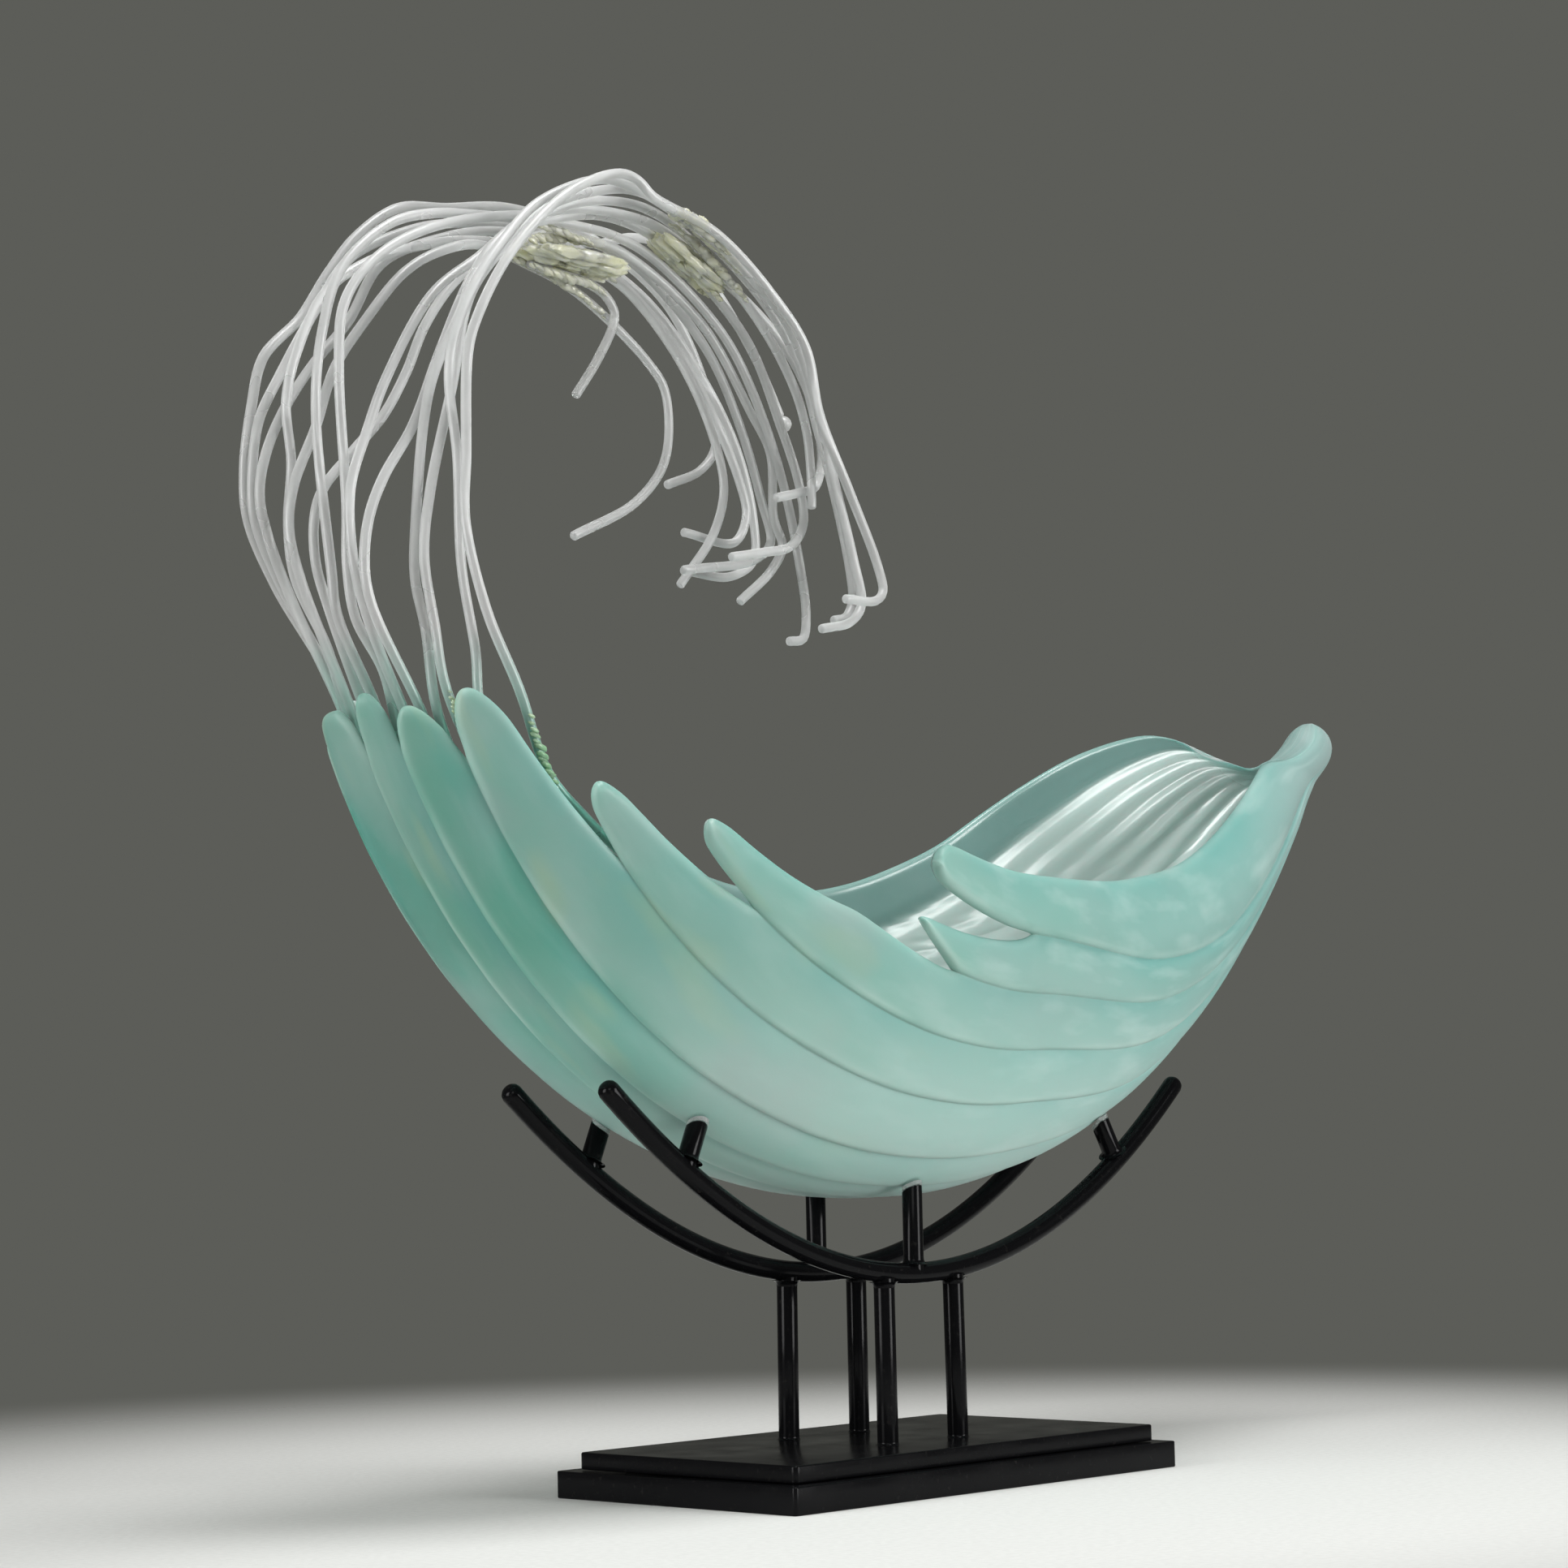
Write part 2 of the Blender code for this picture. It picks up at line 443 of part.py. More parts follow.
def glass_shell(made_of):
    """One fused casting: ribs share their groove lines up to the slits, and past them each is a finger."""
    points, faces = [], []
    index = {}

    def vertex(k, station, column, outer, along):
        last = len(RIB_COLUMNS) - 1
        key = (k, station, column, outer)
        if column == 0 and k > 0 and along <= SLIT_ENDS[k - 1]:
            key = (k - 1, station, last, outer)
        if key not in index:
            index[key] = len(points)
            points.append(shell_points(k, along, outer)[column])
        return index[key]

    for k in range(len(RIB_TIPS)):
        stations = rib_stations(k)
        last = len(RIB_COLUMNS) - 1
        grid = {(i, c, o): vertex(k, i, c, o, a)
                for i, a in enumerate(stations) for c in range(last + 1) for o in (True, False)}
        for i in range(len(stations) - 1):
            for c in range(last):
                faces.append((grid[i, c, True], grid[i, c + 1, True], grid[i + 1, c + 1, True], grid[i + 1, c, True]))
                faces.append((grid[i, c, False], grid[i + 1, c, False], grid[i + 1, c + 1, False],
                              grid[i, c + 1, False]))
            upper_free = k == 0 or stations[i] >= SLIT_ENDS[k - 1]
            lower_free = k == len(RIB_TIPS) - 1 or stations[i] >= SLIT_ENDS[k]
            for free, c in ((upper_free, 0), (lower_free, last)):
                if free:
                    faces.append((grid[i, c, True], grid[i + 1, c, True], grid[i + 1, c, False], grid[i, c, False]))
        for c in range(last):
            for i in (0, len(stations) - 1):
                faces.append((grid[i, c, True], grid[i, c + 1, True], grid[i, c + 1, False], grid[i, c, False]))
    return add_object("glass_shell", mesh_from("glass_shell", points, faces), made_of)


def stand(shell, steel, rubber):
    lower_top = LOWER_PLATE[2]
    plate("base_lower_plate", LOWER_PLATE, 0.0, LOWER_PLATE_CORNER_ROUND, steel)
    plate("base_upper_plate", UPPER_PLATE, lower_top + GAP, UPPER_PLATE_CORNER_ROUND, steel)
    deck = lower_top + GAP + UPPER_PLATE[2]
    for side, y_sign in (("front", -1), ("back", 1)):
        y = y_sign * CRADLE_SPACING_Y / 2
        for end, x_sign in (("left", -1), ("right", 1)):
            foot = (x_sign * POST_SPACING_X / 2, y, deck + GAP)
            top_x = foot[0] * POST_SPLAY
            top = (top_x, y * POST_SPLAY, cradle_height(top_x) - STEEL_ROD_DIAMETER / 2 - POST_TOP_CLEARANCE)
            round_bar(f"post_{side}_{end}", (foot, top), STEEL_ROD_DIAMETER, 16, steel, domed=False)
        arc_y = y * POST_SPLAY
        steps = 26
        centre_line = [(x, arc_y, cradle_height(x)) for x in
                       (CRADLE_HALF_SPAN * (2 * i / steps - 1) for i in range(steps + 1))]
        round_bar(f"cradle_rod_{side}", centre_line, STEEL_ROD_DIAMETER, 12, steel)
        for place, share, lean in zip(("left", "middle", "right"), STUB_FEET, STUB_LEAN):
            x = share * CRADLE_HALF_SPAN
            foot = np.array((x, arc_y, cradle_height(x)))
            stub_and_pad(f"{side}_{place}", foot, math.radians(lean), shell, steel, rubber)


def stub_and_pad(place, foot, lean, shell, steel, rubber):
    """A stub up from the bent rod, cut to the shell's slope, and a soft pad of even thickness on it."""
    way = np.array((math.sin(lean), 0.0, math.cos(lean)))
    side = np.array((math.cos(lean), 0.0, -math.sin(lean)))
    skin = BVHTree.FromPolygons([v.co.copy() for v in shell.data.vertices],
                                [tuple(f.vertices) for f in shell.data.polygons])
    rim = []
    for k in range(12):
        turn = 2 * math.pi * (k + 0.5) / 12
        rim.append(STUB_DIAMETER / 2 * (math.cos(turn) * side + math.sin(turn) * np.array((0.0, 1.0, 0.0))))
    offsets = rim + [np.zeros(3)]

    def distance(offset):
        return skin.ray_cast(Vector((foot + offset) * MM), Vector(way))[3] / MM

    to_shell = [distance(offset) for offset in offsets]
    crest = 0.0
    for k, offset in enumerate(rim):
        beside = (k + 1) % len(rim)
        for share in (0.3, 0.6, 0.85):
            probe = (offset + rim[beside]) / 2 * share
            flat = to_shell[-1] * (1 - share) + (to_shell[k] + to_shell[beside]) / 2 * share
            crest = max(crest, flat - distance(probe))
    pad_top = [reach - PAD_CLEARANCE - crest for reach in to_shell]
    pad_foot = [reach - PAD_THICKNESS for reach in pad_top]
    stub_top = [reach - GAP for reach in pad_foot]
    stub_foot = [STEEL_ROD_DIAMETER / 2 + STUB_FOOT_CLEARANCE] * len(offsets)
    for name, low, high, made_of in ((f"stub_{place}", stub_foot, stub_top, steel),
                                     (f"pad_{place}", pad_foot, pad_top, rubber)):
        points = [foot + offset + way * reach for offset, reach in zip(offsets, low)]
        points += [foot + offset + way * reach for offset, reach in zip(offsets, high)]
        faces = []
        for k in range(12):
            after = (k + 1) % 12
            faces += [(k, after, 13 + after, 13 + k), (12, after, k), (25, 13 + k, 13 + after)]
        add_object(name, mesh_from(name, points, faces), made_of)


def rod_route(lane, foot, bends):
    """Points along a glass rod's axis: up the shell's inner face, then over the curl in its own lane."""
    own = lane * ROD_LANE_PITCH
    seat = SHELL_THICKNESS + GLASS_ROD_DIAMETER / 2 + ROD_SEAT
    seated = [shell_skin(along, across) - shell_normal(along, across) * seat for along, across in foot]
    route = list(seated)
    for x, height in bends:
        if seated and x < LANES_LEFT_OF:
            low = ease((LANES_FROM - height) / LANES_OVER)
            y = own * (1 - low) + seated[-1][1] * low
        else:
            y = own * (1 + FAN_SHARE * ease((FAN_FROM - height) / FAN_OVER))
        route.append(np.array((x, y, SHELL_CENTRE_Z + height)))
    return route


def glass_rods(glass):
    """Lays the rods one beside another and returns their routes, from the near side to the far side."""
    routes = []
    for number, (lane, foot, bends) in enumerate(GLASS_RODS, 1):
        route = smooth_route(rod_route(lane, foot, bends), ROD_RING_STEP)
        round_bar(f"glass_rod_{number:02d}", route, GLASS_ROD_DIAMETER, ROD_SIDES, glass)
        routes.append(route)
    onward = routes[-1][-1] - routes[-1][-2]
    onward = onward / np.linalg.norm(onward)
    bead_radius = END_BEAD_DIAMETER / 2
    centre = routes[-1][-1] + onward * (GLASS_ROD_DIAMETER / 2 + GAP + bead_radius * 0.85)
    ellipsoid("rod_end_bead", centre, (bead_radius,) * 3, 0.0, glass, fineness=1)
    return routes


def ellipsoid(name, centre, half_sizes, slope, made_of, fineness=2):
    """A slightly uneven rounded lump, long way along +X and then tilted down by slope degrees."""
    shape = bmesh.new()
    bmesh.ops.create_icosphere(shape, subdivisions=fineness, radius=1.0)
    tilt = math.radians(slope)
    for vert in shape.verts:
        x, y, z = vert.co
        uneven = 1 + 0.07 * math.sin(5 * x + 3 * y) + 0.05 * math.sin(7 * z - 4 * y)
        x, y, z = (c * h * uneven for c, h in zip((x, y, z), half_sizes))
        vert.co = Vector((centre[0] + x * math.cos(tilt) + z * math.sin(tilt), centre[1] + y,
                          centre[2] - x * math.sin(tilt) + z * math.cos(tilt))) * MM
    mesh = bpy.data.meshes.new(name)
    shape.to_mesh(mesh)
    shape.free()
    return add_object(name, mesh, made_of)


def largest_piece(mesh):
    """Keeps the biggest of a mesh's separate pieces."""
    shape = bmesh.new()
    shape.from_mesh(mesh)
    left = set(shape.verts)
    pieces = []
    while left:
        piece, border = set(), [left.pop()]
        while border:
            vert = border.pop()
            piece.add(vert)
            for edge in vert.link_edges:
                other = edge.other_vert(vert)
                if other in left:
                    left.remove(other)
                    border.append(other)
        pieces.append(piece)
    biggest = max(pieces, key=len)
    bmesh.ops.delete(shape, geom=[v for v in shape.verts if v not in biggest], context="VERTS")
    shape.to_mesh(mesh)
    shape.free()


def glue_lumps(routes, glue, glass):
    """Lumps that fill in round the rods, each cut to clear every rod by the gap."""
    cutter_points = []
    for number, route in enumerate(routes):
        near = [p for p in route if GLUE_CUT_X[0] < p[0] < GLUE_CUT_X[1]
                and p[2] > SHELL_CENTRE_Z + GLUE_CUT_ABOVE]
        if len(near) > 1:
            width = GLASS_ROD_DIAMETER + 2 * GLUE_CLEARANCE
            cutter = round_bar(f"cutter_{number:02d}", near, width, ROD_SIDES, glass)
            cutter.hide_render = True
            cutter.display_type = "WIRE"
            cutter_points.append(cutter)
    for number, (centre, half_sizes, slope) in enumerate(GLUE_LUMPS, 1):
        placed = (centre[0], centre[1] * ROD_LANE_PITCH, SHELL_CENTRE_Z + centre[2])
        reach = (half_sizes[0], half_sizes[1] * ROD_LANE_PITCH, half_sizes[2])
        lump = ellipsoid(f"glue_lump_{number}", placed, reach, slope, glue)
        for cutter in cutter_points:
            cut = lump.modifiers.new(cutter.name, "BOOLEAN")
            cut.operation = "DIFFERENCE"
            cut.solver = "EXACT"
            cut.object = cutter
        shaped = bpy.data.meshes.new_from_object(lump.evaluated_get(bpy.context.evaluated_depsgraph_get()))
        lump.modifiers.clear()
        largest_piece(shaped)
        lump.data = shaped
        shaped.name = lump.name
    for cutter in cutter_points:
        bpy.data.objects.remove(cutter)


def main():
    for obj in list(bpy.data.objects):
        bpy.data.objects.remove(obj)
    steel = material("black_gloss_steel", (0.012, 0.012, 0.013), 0.12)
    rubber = material("clear_rubber", (0.8, 0.82, 0.8), 0.25, transmission=0.6)
    glass = material("frosted_sea_glass", (0.42, 0.72, 0.62), 0.35, transmission=0.8)
    rod_glass = material("frosted_clear_glass", (0.86, 0.9, 0.88), 0.3, transmission=0.7)
    glue = material("set_adhesive", (0.62, 0.6, 0.42), 0.3, transmission=0.3)
    stand(glass_shell(glass), steel, rubber)
    routes = glass_rods(rod_glass)
    glue_lumps(routes, glue, rod_glass)


main()
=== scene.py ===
"""The glass wave sculpture, dressed for rendering: a frosted sea-green shell of fused ribs, a plume of bent
glass rods held by set adhesive, and a gloss black steel cradle on a stepped base.

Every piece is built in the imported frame's own metres, from the same sizes as the frame, and rides on the
body that carries it. Sizes are written in millimetres and turned into metres by MM.
"""
import math
from functools import lru_cache

import bpy
import numpy as np
from mathutils import Matrix, Vector, noise
from mathutils.bvhtree import BVHTree


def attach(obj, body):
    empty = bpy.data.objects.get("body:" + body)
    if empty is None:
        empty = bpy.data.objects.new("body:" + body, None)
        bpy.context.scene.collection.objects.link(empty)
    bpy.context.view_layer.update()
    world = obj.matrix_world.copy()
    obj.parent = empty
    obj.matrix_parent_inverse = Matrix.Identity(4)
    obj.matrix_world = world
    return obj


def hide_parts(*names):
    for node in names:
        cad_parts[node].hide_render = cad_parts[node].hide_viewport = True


MM = 0.001

# Base and frame
LOWER_PLATE = (259.0, 147.0, 12.0)
UPPER_PLATE = (243.5, 133.0, 7.6)
LOWER_PLATE_ROUNDS = (1.8, 0.7)  # radius of its upright corners, and of its edges
UPPER_PLATE_ROUNDS = (2.5, 0.9)
PLATE_CORNER_STEPS = 6
PLATE_EDGE_STEPS = 4
PLATE_GAP = 0.3
STEEL_ROD_DIAMETER = 9.5
POST_SPACING_X = 47.6
CRADLE_SPACING_Y = 61.0
POST_SPLAY = 0.985
CRADLE_LOW_POINT_Z = 95.0
CRADLE_HALF_SPAN = 191.5
CRADLE_RISE = 83.5
STUB_DIAMETER = 9.2
STUB_FEET = (-0.773, -0.016, 0.757)  # as shares of the half span
STUB_LEAN = (24.0, 0.0, -31.0)
BAR_SIDES = 32
CRADLE_STEPS = 90
BAR_END_TURNS = (30.0, 55.0, 75.0)  # degrees round a bar's end at which it has points
POST_END_ROUND = 0.05  # the ends of bars bulge by these shares of their radius
CRADLE_END_ROUND = 0.8
POST_TOP_SINK = 0.6  # as shares of the rod's radius, below its centre line
TOP_WELD_AT = 0.9
STUB_FOOT_UP = 1.0  # a stub starts this far up from the rod's centre line
STUB_READ_FROM = 80.0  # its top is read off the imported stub, from this far up
STUB_TOP_READ_AT = (0.97, 0.86)  # at these shares of its radius
STUB_TOP_ROUND = ((0.0, 0.5), (0.18, 0.14))  # its top edge: (inset, drop)
STUB_TOP_INSET = 0.55
STUB_WELD_AT = 0.42  # as a share of the rod's thickness
FOOT_WELD_REACH = 1.0  # how far a weld spreads over what it joins
WELD_REACH = 2.4
WELD_TALL = 1.15  # its height, as a share of that
WELD_SKIN = 0.02  # and how far it stands off the bar, so that the two faces don't coincide
WELD_UNEVEN = 0.02
WELD_SIDES = 40
WELD_STEPS = 8

# Glass shell, in polar form about a level line over the base
SHELL_CENTRE_Z = 410.0
SHELL_THICKNESS = 8.0
GROOVE_DEPTH = 2.0
SLIT_HALF_ANGLE = 0.2  # half a slit's width between two fingers, in degrees across the shell
SHELL_SECTIONS = (
    # angle, keel radius, near half width, far half width, near depth, far depth, far rim's lead in degrees
    (6.05, 366.0, 2.4, 2.4, 4.0, 3.5, 0.0),
    (6.3, 371.0, 5.8, 5.8, 10.0, 9.0, 0.0),
    (6.8, 376.0, 9.3, 9.3, 17.0, 15.0, 0.0),
    (8.2, 379.3, 12.0, 12.0, 25.0, 22.0, 0.0),
    (9.6, 374.0, 14.0, 14.0, 31.0, 23.5, 0.0),
    (11.0, 366.0, 16.0, 17.0, 38.0, 29.0, 0.0),
    (11.4, 364.5, 17.0, 20.8, 44.0, 40.8, 0.15),
    (11.8, 363.2, 18.3, 24.0, 48.5, 51.0, 0.6),
    (12.3, 361.3, 19.9, 27.5, 51.0, 62.5, 1.6),
    (13.0, 358.7, 21.9, 31.0, 53.5, 73.5, 2.75),
    (13.9, 355.6, 24.1, 34.0, 55.0, 82.2, 3.4),
    (15.2, 352.5, 26.9, 37.5, 57.9, 90.4, 3.7),
    (17.0, 347.6, 30.5, 41.5, 60.9, 99.7, 3.6),
    (19.5, 341.2, 35.1, 47.0, 64.8, 109.5, 3.0),
    (23.0, 333.1, 41.2, 54.5, 70.2, 115.0, 2.1),
    (30.0, 319.2, 52.0, 69.5, 79.9, 117.1, 0.7),
    (37.0, 308.7, 61.6, 76.0, 89.7, 116.9, 0.0),
    (45.0, 299.9, 71.0, 80.0, 101.6, 119.1, 0.0),
    (60.0, 289.8, 85.0, 88.0, 117.2, 123.2, 0.0),
    (90.0, 282.0, 93.0, 93.0, 134.0, 134.0, 0.0),
    (120.0, 290.0, 96.0, 96.0, 154.0, 154.0, 0.0),
    (150.0, 306.0, 95.0, 95.0, 165.0, 165.0, 0.0),
    (168.0, 318.0, 89.0, 89.0, 168.0, 168.0, 0.0),
)
GROOVE_ANGLES = (-97.0, -84.0, -72.0, -59.5, -46.0, -29.0, -15.0, -4.0,
                 22.0, 33.0, 43.5, 54.5, 65.5, 76.0, 87.0, 98.0)
TWIST_FROM = 115.0  # past this angle the grooves drift towards the far side
TWIST_RATE = 0.05
GATHER_FROM = 83.0  # before this angle the grooves gather towards the keel, the low ones quickest
GATHER_RATE = 0.65
GATHER_LEAST = 32.0  # degrees over which a low groove gathers
GATHER_LOW = 42.0  # a groove further out than this gathers over more degrees
GATHER_SPREAD = 0.68
RIB_TIPS = (
    # angle along, angle across, degrees over which the end is rounded; then for the upper edge and for the
    # lower: degrees before the tip at which it leaves its groove, how it curves in (1 is straight) and the
    # share of the width that it gives up before the rounded end
    (111.0, -88.0, 4.0, 36.0, 1.5, 0.55, 22.0, 1.0, 0.25),
    (110.5, -77.5, 2.6, 26.5, 0.6, 0.90, 9.5, 1.0, 0.86),
    (146.0, -61.6, 3.5, 24.5, 1.0, 0.82, 10.0, 1.0, 0.05),
    (155.0, -47.9, 4.0, 20.5, 1.0, 0.74, 7.0, 1.0, 0.05),
    (166.0, -31.5, 4.2, 18.5, 1.15, 0.58, 5.0, 1.0, 0.05),
    (165.5, -17.6, 3.0, 6.5, 1.0, 0.42, 5.0, 1.0, 0.0),
    (167.0, -6.3, 3.0, 6.0, 1.0, 0.05, 5.0, 1.0, 0.0),
    (166.0, 7.0, 2.5, 5.5, 1.0, 0.3, 5.0, 1.0, 0.1),
    (163.5, 27.0, 2.5, 4.0, 1.0, 0.1, 7.0, 1.0, 0.3),
    (164.5, 38.0, 2.5, 4.0, 1.0, 0.1, 7.0, 1.0, 0.1),
    (166.0, 48.0, 2.5, 8.0, 1.0, 0.2, 12.0, 1.0, 0.5),
    (160.5, 59.0, 2.5, 6.0, 1.0, 0.1, 20.0, 1.1, 0.7),
    (151.0, 70.5, 3.0, 8.0, 1.0, 0.1, 20.0, 1.0, 0.8),
    (138.0, 81.0, 3.5, 10.0, 1.0, 0.05, 24.0, 1.0, 0.8),
    (118.0, 91.0, 4.0, 12.0, 1.0, 0.2, 36.0, 1.5, 0.5),
)
SLIT_ENDS = (84.0, 101.0, 134.5, 147.5, 160.5, 162.6, 162.6, 160.5, 154.0, 154.0, 154.0, 141.0, 126.0, 101.0)
STATIONS = (6.05, 6.3, 6.8, 7.5, 8.2, 8.9, 9.6, 10.3, 11.0, 11.4, 12.0, 12.5, 13.0, 13.8, 14.6, 16.0,
            17.4, 19.5, 22.0, 25.0, 28.5, 32.5, 36.5, 40.7, 45.0, 49.5, 54.0, 58.0, 62.0, 66.0, 70.0, 73.5,
            77.0, 80.5, 82.8, 84.0, 86.0, 89.2, 92.5, 96.7, 99.8, 101.0, 103.0, 106.2, 109.5, 113.7, 118.0,
            122.0, 124.8, 126.0, 128.0, 131.2, 133.3, 134.5, 136.5, 139.8, 141.0, 143.0, 146.3, 147.5,
            149.5, 152.8, 154.0, 156.0, 159.3, 160.5, 161.6, 162.6, 163.5)
TIP_STEPS = (2.6, 2.0, 1.35, 0.8, 0.35, 0.08, 0.0)  # degrees before a finger's tip with points of its own
TIP_CLEAR = 0.5  # and the shared angles stop this far before the first of them
TIP_BLUNT = 0.02  # a finger's end keeps this share of the rib's width
SOLID_PROW_TO = 11.0
PROW_BACK_BULGE = 6.0  # how far the solid prow's upper face bulges
PROW_BACK_FROM = 10.0  # half width of the prow from which it does so in full
PROW_BACK_RAISED = 0.6
PROW_SKIN_STEP = 3.0  # degrees from the prow's rim over which its outer face's direction is read
PROW_BACK_STEP = 0.04  # and share of the upper face, for that one's
LEAST_WIDTH = 0.05
NARROW_UP_TO = 14.0
NARROW_FADE = 12.0
GROOVES_FROM = 9.5
GROOVES_OVER = 6.0
EDGE_ROUND = 4.0  # radius of the shell's free edges, half its thickness
PROW_EDGE_ROUND = 4.2  # how far the prow's upper edges are rounded over
# Points across a rib: millimetres from its edge, and the most that this may be as a share of its width
EDGE_COLUMNS = ((0.0, 0.0), (0.4, 0.04), (1.3, 0.09), (2.7, 0.16), (4.6, 0.24))
MIDDLE_COLUMNS = 3  # then this many to the middle of the rib
RIM_COLUMNS = 14  # or this many on the two wide rim ribs
STEP_ROUND = 4.2  # rounding of the edge where one rib laps over the next
KEEL_RIB = 7  # the lowest rib, which the ribs on both sides of it lap over
LAP_FROM = 40.0  # the ribs lie side by side at the prow, and lap from here on
LAP_OVER = 40.0
LAP_CURVE = 1.6  # how quickly a rib falls away from its proud edge (1 is straight)
FLUTE_DEPTH = 2.6  # the inner face is fluted, with a smooth band under each rim
FLUTES_BELOW = 84.0  # degrees across the shell where the band ends
FLUTE_PITCH = 8.4  # degrees
FLUTES_OVER = 5.0  # degrees past the solid prow over which they come in
INNER_RIDGE = 2.6  # how deep the inner face's valleys between the fingers are
VALLEYS_FROM = 95.0  # past this angle the flutes turn into these valleys
VALLEYS_OVER = 30.0
HANDMADE = 0.5  # unevenness of the outer face
HANDMADE_GRAIN = 0.016  # turns per millimetre
TYPICAL_RADIUS = 300.0

# Paint on the shell, much of it painted highlight and painted shade, in millimetres across it or in degrees
EDGE_HIGHLIGHT = 3.5  # the painted highlight along a free edge
HIGHLIGHT_FROM_LAP = 2.2  # the painted highlight line beside a lap, where its rounded edge catches the light
HIGHLIGHT_WIDTH = 1.9
LAP_SHADE_CURVE = 1.8  # how quickly the painted shade beside a lap gets deeper
KEEL_LAP_SHADE = 0.45  # and that painted shade's share all over the lowest rib
INNER_FADE = 3.0
BAND_FADE = 3.0
GREEN_FADES = (0.315, 0.365)  # heights in metres between which the shell's green leaves rods and adhesive
GLASS_IOR = 1.5

# Glass rods
GLASS_ROD_DIAMETER = 4.4
ROD_LANE_PITCH = 5.0
ROD_SIDES = 12
ROD_RING_STEP = 2.6
ROD_SEAT = 0.9  # how far a rod's foot stands off the shell's inner face
ROD_SHARE = 0.96  # a drawn rod's thickness, as a share of the nominal one, and how it wanders
ROD_WANDER = 0.05
ROD_WANDER_GRAIN = 0.02
ROD_WANDER_SHIFT = 3.7
ROD_END_ROUND = 0.45
FAN_SHARE = 0.45  # the lanes fan out by this share, from this height down
FAN_FROM = 60.0
FAN_OVER = 150.0

